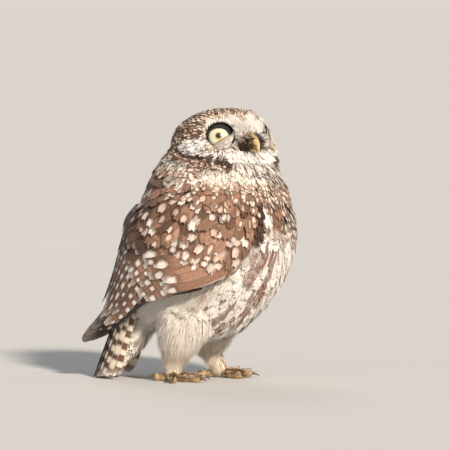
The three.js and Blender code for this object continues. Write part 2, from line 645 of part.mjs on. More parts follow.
function build() {
  const owl = new THREE.Group();
  const torso = torsoSolid();
  const torsoGrown = torsoSolid(GAP, TORSO_TOP + 0.02);

  // The head and all that it carries share a frame that is turned and tipped with it
  const head = new THREE.Group();
  head.position.copy(place(HEAD.forward, 0, HEAD.up));
  head.rotation.set(rad(-HEAD.pitch), 0, rad(-HEAD.turn), "ZXY");
  head.updateMatrix();
  const inBody = (body) => body.transform(head.matrix.toArray());

  const sides = { left: 1, right: -1 };
  let skull = headSolid();
  for (const side of Object.values(sides)) {
    skull = skull.subtract(ball(SOCKET, eyeCentre(side), 18, 12));
  }
  skull = skull.subtract(billSolid(BILL_PATH, GAP)).subtract(billSolid(LOWER_BILL_PATH, GAP));
  head.add(meshOf("head", skull, "plumage"));
  let upperBill = billSolid(BILL_PATH);
  for (const side of Object.values(sides)) {
    const nostril = place(NOSTRIL.forward, side * NOSTRIL.side, NOSTRIL.up);
    upperBill = upperBill.subtract(ball(NOSTRIL.radius, nostril, 8, 6));
  }
  head.add(meshOf("bill_upper", upperBill, "bill"));
  head.add(meshOf("bill_lower", billSolid(LOWER_BILL_PATH).subtract(billSolid(BILL_PATH, GAP)), "bill"));
  for (const [label, side] of Object.entries(sides)) {
    head.add(meshOf(`eye_${label}`, ball(EYE.radius, eyeCentre(side), 18, 10), "eye"));
    head.add(meshOf(`eyelids_${label}`, lidSolid(side), "lid"));
  }
  owl.add(head);

  owl.add(meshOf("neck", neckSolid().subtract(inBody(headSolid(GAP))), "plumage"));
  const thighs = {};
  const shanks = {};
  for (const [label, leg] of Object.entries(LEGS)) {
    thighs[label] = thighSolid(leg).subtract(torsoGrown);
    shanks[label] = shankSolid(leg).subtract(thighSolid(leg, GAP)).subtract(torsoGrown);
  }
  owl.add(meshOf("torso", torso, "plumage"));
  for (const [label, side] of Object.entries(sides)) {
    const own = side > 0 ? [1, 0, 0] : [-1, 0, 0];
    const wing = wingSolid(side).subtract(torsoGrown).subtract(neckSolid(GAP)).trimByPlane(own, GAP / 2);
    owl.add(meshOf(`wing_${label}`, wing, "plumage"));
  }
  owl.add(meshOf("tail", tailSolid().subtract(torsoGrown), "plumage"));
  for (const [label, leg] of Object.entries(LEGS)) {
    owl.add(meshOf(`thigh_${label}`, thighs[label], "pale"));
    owl.add(meshOf(`shank_${label}`, shanks[label], "pale"));
    const taken = [shankSolid(leg, GAP)];
    for (const toe of TOES) {
      const body = taken.reduce((left, other) => left.subtract(other), toeSolid(leg, toe));
      taken.push(toeSolid(leg, toe, GAP));
      owl.add(meshOf(`${toe.name}_${label}`, body, "toe"));
      const claw = clawSolid(leg, toe).subtract(toeSolid(leg, toe, GAP));
      owl.add(meshOf(`${toe.name}_claw_${label}`, claw, "claw"));
    }
  }
  return owl;
}

// The origin goes to the middle of the base of the whole owl
function centred(owl) {
  owl.updateMatrixWorld(true);
  const box = new THREE.Box3().setFromObject(owl, true);
  const middle = box.getCenter(new THREE.Vector3());
  owl.position.set(-middle.x, -middle.y, -box.min.z);
  return owl;
}

const root = new THREE.Group();
root.add(centred(build()));

export default root;
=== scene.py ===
"""The looks of a life-size little owl at rest: plumage, eyes, bill, legs, floor, light and camera.

Shapes are worked out in millimetres in the owl's own ways, forward, left and up, and written in metres.
"""
import json
import logging
import math
from collections.abc import Callable
from dataclasses import dataclass, field
from enum import Enum, IntEnum

import bpy
import numpy as np
from mathutils import Matrix, Vector, noise
from mathutils.bvhtree import BVHTree
from mathutils.kdtree import KDTree

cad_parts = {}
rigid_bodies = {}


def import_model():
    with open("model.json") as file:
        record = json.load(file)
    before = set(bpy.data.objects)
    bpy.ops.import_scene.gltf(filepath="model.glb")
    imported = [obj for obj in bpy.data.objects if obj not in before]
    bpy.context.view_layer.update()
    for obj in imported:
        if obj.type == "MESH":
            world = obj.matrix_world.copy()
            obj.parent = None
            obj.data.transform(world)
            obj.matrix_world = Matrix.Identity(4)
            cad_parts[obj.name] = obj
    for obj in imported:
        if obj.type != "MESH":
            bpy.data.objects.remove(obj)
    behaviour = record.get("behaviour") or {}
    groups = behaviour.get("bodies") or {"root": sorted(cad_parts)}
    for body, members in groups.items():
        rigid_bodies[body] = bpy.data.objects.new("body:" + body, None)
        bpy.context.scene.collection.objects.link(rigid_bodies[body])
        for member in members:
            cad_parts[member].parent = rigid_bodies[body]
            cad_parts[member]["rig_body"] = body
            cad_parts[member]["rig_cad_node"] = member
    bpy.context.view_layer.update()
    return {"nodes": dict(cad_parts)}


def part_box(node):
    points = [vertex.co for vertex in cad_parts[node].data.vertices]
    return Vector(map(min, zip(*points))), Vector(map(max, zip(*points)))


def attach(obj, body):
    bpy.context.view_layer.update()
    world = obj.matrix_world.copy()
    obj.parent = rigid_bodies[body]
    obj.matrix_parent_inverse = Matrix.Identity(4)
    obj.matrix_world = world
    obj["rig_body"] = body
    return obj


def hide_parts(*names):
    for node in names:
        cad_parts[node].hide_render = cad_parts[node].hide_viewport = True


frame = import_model()

MM = 0.001
LOG = logging.getLogger("little_owl")
Array = np.ndarray
Draw, Pair, Colour = np.random.Generator, tuple[float, float], tuple[int, int, int]
Shape = Callable[[Array, Array], Array]
Material, Piece, Socket = bpy.types.Material, bpy.types.Object, bpy.types.NodeSocket
SIDES = {"left": 1, "right": -1}

# Stations along the spine, from the wing tips to the top of the neck: forward and up of the centre, depth
# to the breast and to the back, half width, all out to the feathers
OUTLINE = np.array([
    [-82, 22, 4, 4, 10], [-60, 37, 12, 14.5, 21], [-38, 52, 45, 33, 34], [-20, 68, 58, 45, 43],
    [-7, 86, 62, 48, 48], [1, 104, 60.5, 45.5, 47], [6, 120, 51, 43, 41], [9, 134, 41.5, 39.5, 36],
    [11, 148, 31, 31, 29],
], float)

# The same depths and half width for the body alone, inside the folded wings, each at its station
TORSO_AT = np.array([1.35, 1.6, 2, 2.5, 3, 4, 5, 6, 7, 8])
TORSO = np.array([
    [5, 5, 6], [17, 12, 16], [34, 19, 24], [49, 27, 29.5], [57, 34.5, 34],
    [61, 43, 40], [59.5, 43, 41], [50, 42, 38], [40.5, 38.5, 34], [31, 31, 29],
], float)

# The folded wing in degrees round the body, 0 at the breast and 180 at the back, at each station
WING_LOW = np.array([50, 60, 71, 66, 48, 37, 38], float)[:, None]
WING_HIGH = np.array([172, 176, 177, 173, 160, 141, 118], float)[:, None]
WING_CORE = (2.3, 6.15)
WING_CORE_LIFT = np.array([-8, -7, -5.2, -3, -1.8, -1.3, -1, -1], float)[:, None]

HEAD_CENTRE = (9.5, 145.0)
HEAD_TURN, HEAD_PITCH = math.radians(36), math.radians(15)
HEAD_SIZES = dict(front=26, back=28, half=33, crown=23.5, chin=24, boxiness=2.35)

EYE_RADIUS, IRIS_RADIUS, PUPIL_RADIUS = 8.4, 6.3, 1.4
EYE_PLACE = (15.6, 14.4, 1.4)
EYE_DIVERGE, EYE_TIP = math.radians(38), math.radians(3)

# Lines over the head by degrees from the bill to either side: the crown's lower edge, the dark rim under
# the cheek, and the spotted line under the eye
CROWN_TURNS, CROWN_LIFTS = (0, 7, 10, 16, 24, 34, 48, 65, 80, 96), (25, 25, 34, 37, 31, 28, 29, 25, 20, -12)
RIM_TURNS = (24, 30, 37, 44, 54, 62, 75, 86, 98, 112)
RIM_LIFTS = (-42, -34, -28, -25, -21, -18, -14, -10, -3, 4)
LINE_TURNS, LINE_LIFTS = (12, 27, 37, 46, 56, 62), (-14, -13.6, -14.4, -13, -9, -6)

# The scapulars' lower edge over the folded wing: its share of the wing at stations along the spine
SCAPULAR_STATIONS = (3.3, 3.8, 4.2, 4.4, 5.0, 5.4, 5.8, 6.1)
SCAPULAR_SHARES = (1.0, 0.74, 0.55, 0.47, 0.34, 0.25, 0.15, 0)

# The coat's thickness over the body, how much thinner it is under the wing, then over head, face and legs
BODY_COAT, WING_THINNER, HEAD_COAT, FACE_COAT, LEG_COAT = 2.9, 1.5, 1.7, 0.8, 0.9


class Region(IntEnum):
    """A region of the flat map."""

    BODY = 0
    HEAD = 1
    LEFT_LEG = 2
    RIGHT_LEG = 3


def linear(red: int, green: int, blue: int) -> Array:
    """A colour picked as eight-bit screen values, as Blender's linear ones."""
    c = np.array([red, green, blue]) / 255
    return np.where(c <= 0.04045, c / 12.92, ((c + 0.055) / 1.055) ** 2.4)


def soft(value: Array, low: float, high: float) -> Array:
    """A smooth step from 0 at low to 1 at high, or down again where high is the smaller."""
    t = np.clip((value - low) / (high - low), 0, 1)
    return t * t * (3 - 2 * t)


def unit(vectors: Array) -> Array:
    """The vectors at length one."""
    return vectors / np.maximum(np.linalg.norm(vectors, axis=-1, keepdims=True), 1e-9)


def laid(vectors: Array, out: Array) -> Array:
    """The vectors laid along the surface that faces out."""
    return vectors - out * np.sum(vectors * out, axis=-1, keepdims=True)


def ramp(ends: tuple[Array, Array], share: Array) -> Array:
    """The value at a share of the way from the first end to the second."""
    return ends[0] + (ends[1] - ends[0]) * share


def faded(first: Array, second: Array, share: Array) -> Array:
    """Rows of the first turned into rows of the second, by a share for each row."""
    share = share[:, None]
    return first * (1 - share) + second * share


def beside(count: int, *columns: float | Array) -> Array:
    """Columns side by side, where a single value stands for a whole column."""
    return np.column_stack([c if np.ndim(c) else np.full(count, float(c)) for c in columns])


def between(rows: Array, position: Array) -> Array:
    """The values between a table's rows, by a smooth cubic through them.

    Args:
        rows: One row of values for each whole position.
        position: Where to read, in rows.

    Returns:
        The values, with the table's columns last.
    """
    position = np.asarray(position, float)
    last = len(rows) - 1
    i = np.clip(np.floor(position).astype(int), 0, last - 1)
    t = (position - i)[..., None]
    p0, p1, p2, p3 = (rows[np.clip(i + k, 0, last)] for k in (-1, 0, 1, 2))
    m1, m2 = (p2 - p0) / 2, (p3 - p1) / 2
    return ((2 * t**3 - 3 * t**2 + 1) * p1 + (t**3 - 2 * t**2 + t) * m1
            + (3 * t**2 - 2 * t**3) * p2 + (t**3 - t**2) * m2)


def rotation(axis: str, angle: float) -> Array:
    """A turn about one of the axes, as a 3 by 3 matrix."""
    return np.array(Matrix.Rotation(angle, 3, axis))


HEAD_WAYS = rotation("Z", -HEAD_TURN) @ rotation("X", -HEAD_PITCH)


def local(forward: float | Array, left: float | Array, up: float | Array) -> Array:
    """A place from distances forward, left and up, before the owl's own shift."""
    forward, left, up = np.broadcast_arrays(forward, left, up)
    return np.stack([left, -forward, up], axis=-1).astype(float)


def eye_centre(side: int) -> Array:
    """The middle of an eyeball in the head's ways."""
    return local(EYE_PLACE[0], side * EYE_PLACE[1], EYE_PLACE[2])


def shift_of_frame() -> Array:
    """How far the owl's own zero lies from the frame's, read from where the left eye stands."""
    low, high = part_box("eye_left")
    stands = np.array((low + high) / 2) / MM
    drawn = HEAD_WAYS @ eye_centre(1) + local(HEAD_CENTRE[0], 0, HEAD_CENTRE[1])
    return np.array([0, stands[1] - drawn[1], 0])


SHIFT = shift_of_frame()


def place(forward: float | Array, left: float | Array, up: float | Array) -> Array:
    """A place in the frame, in millimetres, from distances forward, to the owl's left, and up."""
    return local(forward, left, up) + SHIFT


def from_head(points: Array) -> Array:
    """Places in the head's ways as places in the frame."""
    return points @ HEAD_WAYS.T + place(HEAD_CENTRE[0], 0, HEAD_CENTRE[1])


def to_head(points: Array) -> Array:
    """Places in the frame as places in the head's ways."""
    return (points - place(HEAD_CENTRE[0], 0, HEAD_CENTRE[1])) @ HEAD_WAYS


def outline_sizes(station: Array) -> Array:
    """Breast, back and half width of the whole owl at a station."""
    return between(OUTLINE[:, 2:], station)


def torso_sizes(station: Array) -> Array:
    """Breast, back and half width of the body inside the wings at a station."""
    return between(TORSO, np.interp(station, TORSO_AT, np.arange(len(TORSO_AT))))


def spine(station: Array) -> tuple[Array, Array]:
    """The spine's centre at a station, and the way along it to the head, as forward and up."""
    step = 0.05
    ahead = between(OUTLINE[:, :2], station + step) - between(OUTLINE[:, :2], station - step)
    return between(OUTLINE[:, :2], station), unit(ahead)


def around_spine(sizes: Callable[[Array], Array], station: Array, angle: Array, side: int,
                 grow: Array) -> Array:
    """Places on the section of the body at a station.

    Args:
        sizes: Gives the section's breast, back and half width.
        station, angle: Along the spine, and degrees round it, 0 at the breast and 180 at the back.
        side: 1 for the owl's left, -1 for its right.
        grow: Millimetres outwards.

    Returns:
        Places in the frame.
    """
    station, angle, grow = np.broadcast_arrays(np.asarray(station, float), angle, grow)
    centre, ahead = spine(station)
    breast, back, half = np.moveaxis(sizes(station), -1, 0)
    cos, sin = np.cos(np.radians(angle)), np.sin(np.radians(angle))
    deep = (np.where(cos > 0, breast, back) + grow) * cos
    return place(centre[..., 0] + ahead[..., 1] * deep, side * (half + grow) * sin,
                 centre[..., 1] - ahead[..., 0] * deep)


def wing_edges(station: Array) -> tuple[Array, Array]:
    """The folded wing's lower and upper edge at a station, in degrees round the body."""
    return between(WING_LOW, station)[..., 0], between(WING_HIGH, station)[..., 0]


def wing_point(side: int, station: Array, share: Array, lift: Array) -> Array:
    """Places over a folded wing, by shares from its lower edge to its upper and the height over it."""
    station, share, lift = np.broadcast_arrays(np.asarray(station, float), share, lift)
    return around_spine(outline_sizes, station, ramp(wing_edges(station), share), side, lift)


@dataclass
class Spots:
    """Places in the coat's own measures.

    Fields are the places in the frame, the station and angle round the body, the turn from the bill and
    lift on the head in degrees, how far a place belongs to the head, and the nearest leg's distance.
    """

    points: Array
    station: Array = field(init=False)
    angle: Array = field(init=False)
    turn: Array = field(init=False)
    lift: Array = field(init=False)
    head: Array = field(init=False)
    leg: Array = field(init=False)

    def __post_init__(self) -> None:
        """Measures all the places."""
        flat = self.points - SHIFT
        forward, left, up = -flat[:, 1], flat[:, 0], flat[:, 2]
        stations = np.linspace(0, 8, 241)
        centre, ahead = spine(stations)
        sizes = outline_sizes(stations)
        nearest = np.empty(len(flat), int)
        for start in range(0, len(flat), 20000):
            part = slice(start, start + 20000)
            off = np.abs((forward[part, None] - centre[:, 0]) * ahead[:, 0]
                         + (up[part, None] - centre[:, 1]) * ahead[:, 1])
            nearest[part] = off.argmin(axis=1)
        c, a, size = centre[nearest], ahead[nearest], sizes[nearest]
        depth = (forward - c[:, 0]) * a[:, 1] - (up - c[:, 1]) * a[:, 0]
        self.station = stations[nearest]
        self.angle = np.degrees(np.arctan2(np.abs(left) / size[:, 2],
                                           depth / np.where(depth > 0, size[:, 0], size[:, 1])))
        q = to_head(self.points)
        level = np.hypot(q[:, 0], q[:, 1])
        self.turn = np.degrees(np.arctan2(q[:, 0], -q[:, 1]))
        self.lift = np.degrees(np.arctan2(q[:, 2], level))
        self.head = soft(np.linalg.norm(q, axis=1) - head_radius(self.turn, self.lift), 6, 1.5)
        self.leg = np.minimum(*(leg.distance(self.points) for leg in LEGS.values()))

    @property
    def side_turn(self) -> Array:
        """Degrees from the bill to either side."""
        return np.abs(self.turn)

    @property
    def over_rim(self) -> Array:
        """Degrees of lift over the dark rim under the cheek."""
        return self.lift - np.interp(self.side_turn, RIM_TURNS, RIM_LIFTS)

    @property
    def to_eye(self) -> Array:
        """The distance from the nearer eye's middle."""
        q = to_head(self.points)
        return np.minimum(*(np.linalg.norm(q - eye_centre(side), axis=1) for side in SIDES.values()))

    @property
    def tail(self) -> Array:
        """How far a place belongs to the tail's root and underside."""
        return soft(SHIFT[1] - self.points[:, 1], -38, -46) * soft(self.points[:, 2], 70, 60)

    @property
    def over_brow(self) -> Array:
        """Degrees of lift over the lower edge of the brown crown."""
        return self.lift - np.interp(self.side_turn, CROWN_TURNS, CROWN_LIFTS)

    @property
    def wing_share(self) -> Array:
        """0 at the folded wing's lower edge and 1 at its upper."""
        low, high = wing_edges(self.station)
        return (self.angle - low) / (high - low)

    @property
    def off_wing(self) -> Array:
        """1 beside and under the folded wing, 0 on it."""
        return np.maximum(soft(self.wing_share, 0.04, -0.02), soft(self.station, 3.4, 3.1))

    @property
    def over_scapulars(self) -> Array:
        """The share of the wing by which a place lies above the scapulars' lower edge."""
        return self.wing_share - np.interp(self.station, SCAPULAR_STATIONS, SCAPULAR_SHARES)


def bump(turn: Array, lift: Array, at: Pair, reach: Pair) -> Array:
    """A soft bump on the head, 1 in its middle and 0 past its reach."""
    d = ((turn - at[0]) / reach[0]) ** 2 + ((lift - at[1]) / reach[1]) ** 2
    return np.clip(1 - d, 0, 1) ** 2


def head_radius(turn: Array, lift: Array) -> Array:
    """The distance from the head's middle to its surface, by degrees from the bill and above the level."""
    t, l = np.radians(turn), np.radians(lift)
    s, p = HEAD_SIZES, HEAD_SIZES["boxiness"]
    parts = (
        np.cos(l) * np.cos(t) / np.where(np.cos(t) > 0, s["front"], s["back"]),
        np.cos(l) * np.sin(t) / s["half"],
        np.sin(l) / np.where(l > 0, s["crown"], s["chin"]),
    )
    r = sum(np.abs(v) ** p for v in parts) ** (-1 / p)
    a = np.abs(turn)
    r += 2.6 * bump(a - (lift - 30) * 0.5, lift, (26, 34), (20, 17))
    r -= 2.8 * bump(a, lift, (40, 4), (26, 24))
    r += 3.4 * bump(a, lift, (0, -8), (24, 30))
    r += 2.2 * bump(a, lift, (62, -22), (24, 26))
    r += 4.4 * bump(np.maximum(0, a - 38), lift, (0, -33), (40, 21))
    return r + 2.4 * bump(a, lift, (0, -48), (60, 26))


def head_point(turn: Array, lift: Array, grow: Array = 0.0) -> Array:
    """Places on the head's outline, or a little over it."""
    r = head_radius(turn, lift) + grow
    t, l = np.radians(turn), np.radians(lift)
    return from_head(local(r * np.cos(l) * np.cos(t), r * np.cos(l) * np.sin(t), r * np.sin(l)))


@dataclass(frozen=True)
class Leg:
    """One leg: where its hip, ankle and foot are, and how far its foot is turned out."""

    side: int
    hip: Pair
    ankle: Pair
    foot: float
    turn: float
    hip_out: float = 21
    foot_out: float = 18

    def joints(self) -> Array:
        """The hip, the ankle and the foot's middle in the frame."""
        return np.array([
            place(self.hip[0], self.side * self.hip_out, self.hip[1]),
            place(self.ankle[0], self.side * self.foot_out, self.ankle[1]),
            place(self.foot, self.side * self.foot_out, 3),
        ])

    def distance(self, points: Array) -> Array:
        """How far each place lies from the leg's middle line."""
        hip, ankle, foot = self.joints()
        found = []
        for a, b in ((hip, ankle), (ankle, foot)):
            t = np.clip((points - a) @ (b - a) / ((b - a) @ (b - a)), 0, 1)
            found.append(np.linalg.norm(points - a - t[:, None] * (b - a), axis=1))
        return np.minimum(*found)


LEGS = {
    "left": Leg(side=1, hip=(-2, 42), ankle=(-6, 17), foot=3, turn=6),
    "right": Leg(side=-1, hip=(-8, 42), ankle=(-16, 17), foot=-17, turn=12),
}


def lie_of_coat(points: Array, out: Array) -> Array:
    """Which way the feathers point at places on the skin.

    Args:
        points: Places in the frame.
        out: The skin's outward way at each.

    Returns:
        Unit vectors along the skin.
    """
    at = Spots(points)
    _, ahead = spine(at.station)
    body = np.stack([np.zeros(len(points)), ahead[:, 0], -ahead[:, 1]], axis=-1)
    q = to_head(points)
    side = np.sign(q[:, 0] + 1e-6)
    from_eye = q - np.where(side[:, None] > 0, eye_centre(1), eye_centre(-1))
    near = soft(np.linalg.norm(from_eye, axis=1), 19, 11) * soft(at.side_turn, 8, 22)
    head = faded(unit(q - local(25, 0, 1)), unit(from_eye), near) @ HEAD_WAYS.T
    way = faded(faded(body, TAIL.way, at.tail), head, at.head)
    leg = soft(at.leg, 19, 13) * soft(points[:, 2], 48, 36)
    return unit(laid(faded(way, np.array([0, 0.25, -1]), leg), out))


def chart(points: Array, region: Array) -> Array:
    """Where places lie on the flat map of the skin.

    Head and body are each laid out as one disc that keeps areas, round the face and round the vent, and
    each leg as a strip round its middle line.

    Args:
        points: Places in the frame.
        region: The map's region for each.

    Returns:
        Map places from 0 to 1.
    """

    def disc(way: Array, axis: Array, middle: Pair, size: float) -> Array:
        """Unit ways laid out round an axis."""
        first = unit(np.cross(axis, np.array([1.0, 0, 0])))
        second = np.cross(axis, first)
        stretch = np.sqrt(1 / np.maximum(1 + way @ axis, 0.02)) * size
        return np.stack([way @ first * stretch + middle[0], way @ second * stretch + middle[1]], axis=-1)

    found = disc(unit(points - place(-5, 0, 88)), unit(np.array([0, 0.55, -0.83])), (0.33, 0.33), 0.22)
    face = disc(unit(to_head(points)), unit(np.array([0, -1, 0.35])), (0.82, 0.82), 0.12)
    found = np.where((region == Region.HEAD)[:, None], face, found)
    height = points[:, 2]
    for code, leg in enumerate(LEGS.values(), start=Region.LEFT_LEG):
        hip, ankle, foot = leg.joints()
        centre = np.stack([np.interp(height, [3, ankle[2], hip[2]], [j[k] for j in (foot, ankle, hip)])
                           for k in (0, 1)], axis=-1)
        around = np.arctan2(points[:, 0] - centre[:, 0], points[:, 1] - centre[:, 1]) / (2 * math.pi) + 0.5
        strip = np.stack([0.72 + 0.26 * around, 0.04 + 0.3 * (code - 2) + height * 0.005], axis=-1)
        found = np.where((region == code)[:, None], strip, found)
    return found


def region_of(at: Spots) -> Array:
    """The map's region for each place."""
    region = (at.head > 0.5).astype(int)
    leg = (at.leg < 17) & (at.points[:, 2] < 38)
    return np.where(leg, np.where(at.points[:, 0] > 0, Region.LEFT_LEG, Region.RIGHT_LEG), region)


def select_only(*pieces: Piece) -> None:
    """Only these pieces stay selected, with the first of them active."""
    if bpy.context.object and bpy.context.object.mode != "OBJECT":
        bpy.ops.object.mode_set(mode="OBJECT")
    bpy.ops.object.select_all(action="DESELECT")
    for piece in reversed(pieces):
        piece.select_set(True)
        bpy.context.view_layer.objects.active = piece


def edit_all(operation: Callable[..., object], **settings: object) -> None:
    """One edit of the active piece's whole mesh."""
    bpy.ops.object.mode_set(mode="EDIT")
    bpy.ops.mesh.select_all(action="SELECT")
    operation(**settings)
    bpy.ops.object.mode_set(mode="OBJECT")


def face_outwards() -> None:
    """The active piece's faces look outwards and shade smoothly."""
    edit_all(bpy.ops.mesh.normals_make_consistent, inside=False)
    bpy.ops.object.shade_smooth()


def apply_modifiers(piece: Piece) -> None:
    """Each modifier becomes part of the piece's mesh."""
    select_only(piece)
    for modifier in list(piece.modifiers):
        bpy.ops.object.modifier_apply(modifier=modifier.name)


def read(items: bpy.types.bpy_prop_collection, name: str, each: int = 3, kind: type = float) -> Array:
    """One property of all the items: a row for each, or a plain list where it is a single value."""
    values = np.empty(len(items) * each, kind)
    items.foreach_get(name, values)
    return values.reshape(-1, each) if each > 1 else values


def coordinates(piece: Piece) -> Array:
    """The piece's points in millimetres."""
    return read(piece.data.vertices, "co") / MM


def normals(piece: Piece) -> Array:
    """The outward way at each of the piece's points."""
    return read(piece.data.vertex_normals, "vector")


def move_to(piece: Piece, points: Array) -> None:
    """The piece's points go to these places, in millimetres."""
    piece.data.vertices.foreach_set("co", (points * MM).ravel())
    piece.data.update()


def store(mesh: bpy.types.Mesh, name: str, values: Array) -> None:
    """Four values for each of the mesh's points, under a name that the finish reads."""
    stored = mesh.attributes.new(name, "FLOAT_COLOR", "POINT")
    stored.data.foreach_set("color", values.astype(np.float32).ravel())


def lay_map(mesh: bpy.types.Mesh, name: str, places: Array) -> None:
    """A map with a place for each corner of the mesh's faces."""
    layer = mesh.uv_layers.new(name=name, do_init=False)
    layer.uv.foreach_set("vector", places.astype(np.float32).ravel())


def shaped_ball(name: str, segments: int, rings: int, shape: Shape) -> Piece:
    """A closed form drawn from a ball, its rings set along a line.

    Args:
        name: The piece's name.
        segments, rings: Points round each ring, and rings from one end to the other.
        shape: Gives the place for a turn round the ring in radians, and a share from end to end.

    Returns:
        The piece, smooth shaded and with its faces outwards.
    """
    select_only()
    bpy.ops.mesh.primitive_uv_sphere_add(segments=segments, ring_count=rings, radius=1)
    piece = bpy.context.object
    piece.name = piece.data.name = name
    ball = coordinates(piece) * MM
    turn = np.arctan2(ball[:, 1], ball[:, 0])
    share = np.arccos(np.clip(ball[:, 2], -1, 1)) / math.pi
    move_to(piece, shape(turn, share))
    face_outwards()
    return piece


def limb_shape(centres: Array, halves: Array, highs: Array, across: Array) -> Shape:
    """A shape for shaped_ball along a line of centres with an oval section.

    Args:
        centres, halves, highs: Middle points from end to end, with half widths and half heights.
        across: The way of the width.

    Returns:
        The shape.
    """
    rows = np.column_stack([centres, halves, highs])

    def shape(turn: Array, share: Array) -> Array:
        """The place on the limb, its ends drawn in to a point."""
        position = np.clip((share - 0.04) / 0.92, 0, 1) * (len(rows) - 1)
        here, ahead = between(rows, position), between(rows, position + 0.02)
        before = between(rows, position - 0.02)
        way = unit(ahead[:, :3] - before[:, :3])
        side = unit(across - way * (way @ across)[:, None])
        rise = np.cross(way, side)
        end = np.sqrt(np.clip(1 - (np.clip(np.abs(share - 0.5) * 2 - 0.86, 0, 1) / 0.14) ** 2, 0, 1))
        return (here[:, :3] + side * (here[:, 3] * end * np.cos(turn))[:, None]
                + rise * (here[:, 4] * end * np.sin(turn))[:, None])

    return shape


class Nodes:
    """A short way to set shader nodes into a tree and join them."""

    def __init__(self, tree: bpy.types.NodeTree) -> None:
        """Holds the tree that the nodes go into."""
        self.tree = tree

    def add(self, kind: str, outlet: int | str = 0, **settings: object) -> Socket:
        """A node with its settings; sockets are named as in_ and their number.

        Args:
            kind: The node's type.
            outlet: The output to hand back.
            **settings: Node properties, or in_N values and sockets for its inputs.

        Returns:
            The output socket.
        """
        node = self.tree.nodes.new(kind)
        for key, value in settings.items():
            if key.startswith("in_"):
                self.join(node.inputs[int(key[3:])], value)
            else:
                setattr(node, key, value)
        return node.outputs[outlet]

    def join(self, inlet: Socket, value: object) -> None:
        """Links a socket to the inlet, or sets its plain value."""
        if isinstance(value, Socket):
            self.tree.links.new(value, inlet)
        else:
            inlet.default_value = value

    def math(self, operation: str, a: object, b: object = 0.0, c: object = 0.0) -> Socket:
        """One sum on values."""
        return self.add("ShaderNodeMath", operation=operation, in_0=a, in_1=b, in_2=c)

    def times(self, a: object, b: object) -> Socket:
        """The product of two values."""
        return self.math("MULTIPLY", a, b)

    def plus(self, a: object, b: object) -> Socket:
        """The sum of two values."""
        return self.math("ADD", a, b)

    def minus(self, a: object, b: object) -> Socket:
        """The first value less the second."""
        return self.math("SUBTRACT", a, b)

    def fma(self, a: object, b: object, c: object) -> Socket:
        """The product of two values, with a third added."""
        return self.math("MULTIPLY_ADD", a, b, c)

    def step(self, value: object, low: object, high: object) -> Socket:
        """A smooth step from 0 at low to 1 at high."""
        smooth = {"interpolation_type": "SMOOTHSTEP", "in_0": value, "in_1": low, "in_2": high}
        return self.add("ShaderNodeMapRange", **smooth)

    def blend(self, share: object, a: object, b: object, how: str = "MIX") -> Socket:
        """Two colours mixed by a share."""
        node = self.tree.nodes.new("ShaderNodeMix")
        node.data_type, node.blend_type = "RGBA", how
        for inlet, value in ((0, share), (6, a), (7, b)):
            self.join(node.inputs[inlet], value)
        return node.outputs[2]

    def shaded(self, colour: object, light: Socket) -> Socket:
        """A colour made lighter or darker by one value."""
        grey = self.add("ShaderNodeCombineColor", in_0=light, in_1=light, in_2=light)
        return self.blend(1.0, colour, grey, "MULTIPLY")

    def noise(self, where: Socket, scale: float, detail: float) -> Socket:
        """A cloud of values round a half."""
        return self.add("ShaderNodeTexNoise", in_0=where, in_2=scale, in_3=detail)

    def cells(self, where: Socket, scale: float) -> Socket:
        """Rounded cells with sunken edges."""
        cells = self.add("ShaderNodeTexVoronoi", in_0=where, in_2=scale, feature="DISTANCE_TO_EDGE")
        return self.step(cells, 0.0, 0.25)

    def place(self) -> Socket:
        """The place on the piece in metres."""
        return self.add("ShaderNodeTexCoord", outlet="Object")

    def relief(self, shader: bpy.types.Node, height: Socket, strength: float, distance: float) -> None:
        """Relief of the shader's surface, its distance in millimetres."""
        node = self.tree.nodes.new("ShaderNodeBump")
        for inlet, value in (("Strength", strength), ("Distance", distance * MM), ("Height", height)):
            self.join(node.inputs[inlet], value)
        self.join(shader.inputs["Normal"], node.outputs[0])

    def attribute(self, name: str) -> tuple[Socket, Socket]:
        """A stored colour and its fourth value."""
        colour = self.add("ShaderNodeAttribute", attribute_name=name)
        return colour, colour.node.outputs["Alpha"]

    def parts(self, vector: Socket) -> tuple[Socket, ...]:
        """The three parts of a vector."""
        node = self.add("ShaderNodeSeparateXYZ", in_0=vector).node
        return tuple(node.outputs)


def new_group(name: str, inputs: dict[str, str], outputs: dict[str, str]) -> tuple[Nodes, object, object]:
    """An empty shader node group.

    Args:
        name: The group's name.
        inputs, outputs: Names of the inputs and of the outputs, with their socket kinds.

    Returns:
        The group's nodes, its input node and its output node.
    """
    tree = bpy.data.node_groups.new(name, "ShaderNodeTree")
    for way, sockets in (("INPUT", inputs), ("OUTPUT", outputs)):
        for label, kind in sockets.items():
            tree.interface.new_socket(name=label, in_out=way, socket_type=kind)
    nodes = Nodes(tree)
    return nodes, tree.nodes.new("NodeGroupInput"), tree.nodes.new("NodeGroupOutput")


def new_material(name: str, plain: dict[str, float]) -> tuple[Material, Nodes, bpy.types.Node]:
    """A material with its nodes and its main shader, which takes these plain values."""
    material = bpy.data.materials.new(name)
    material.use_nodes = True
    shader = material.node_tree.nodes["Principled BSDF"]
    for inlet, value in plain.items():
        shader.inputs[inlet].default_value = value
    return material, Nodes(material.node_tree), shader


def paint(colour: Colour) -> tuple[float, ...]:
    """A colour picked as eight-bit screen values, as a shader takes it."""
    return (*linear(*colour), 1)


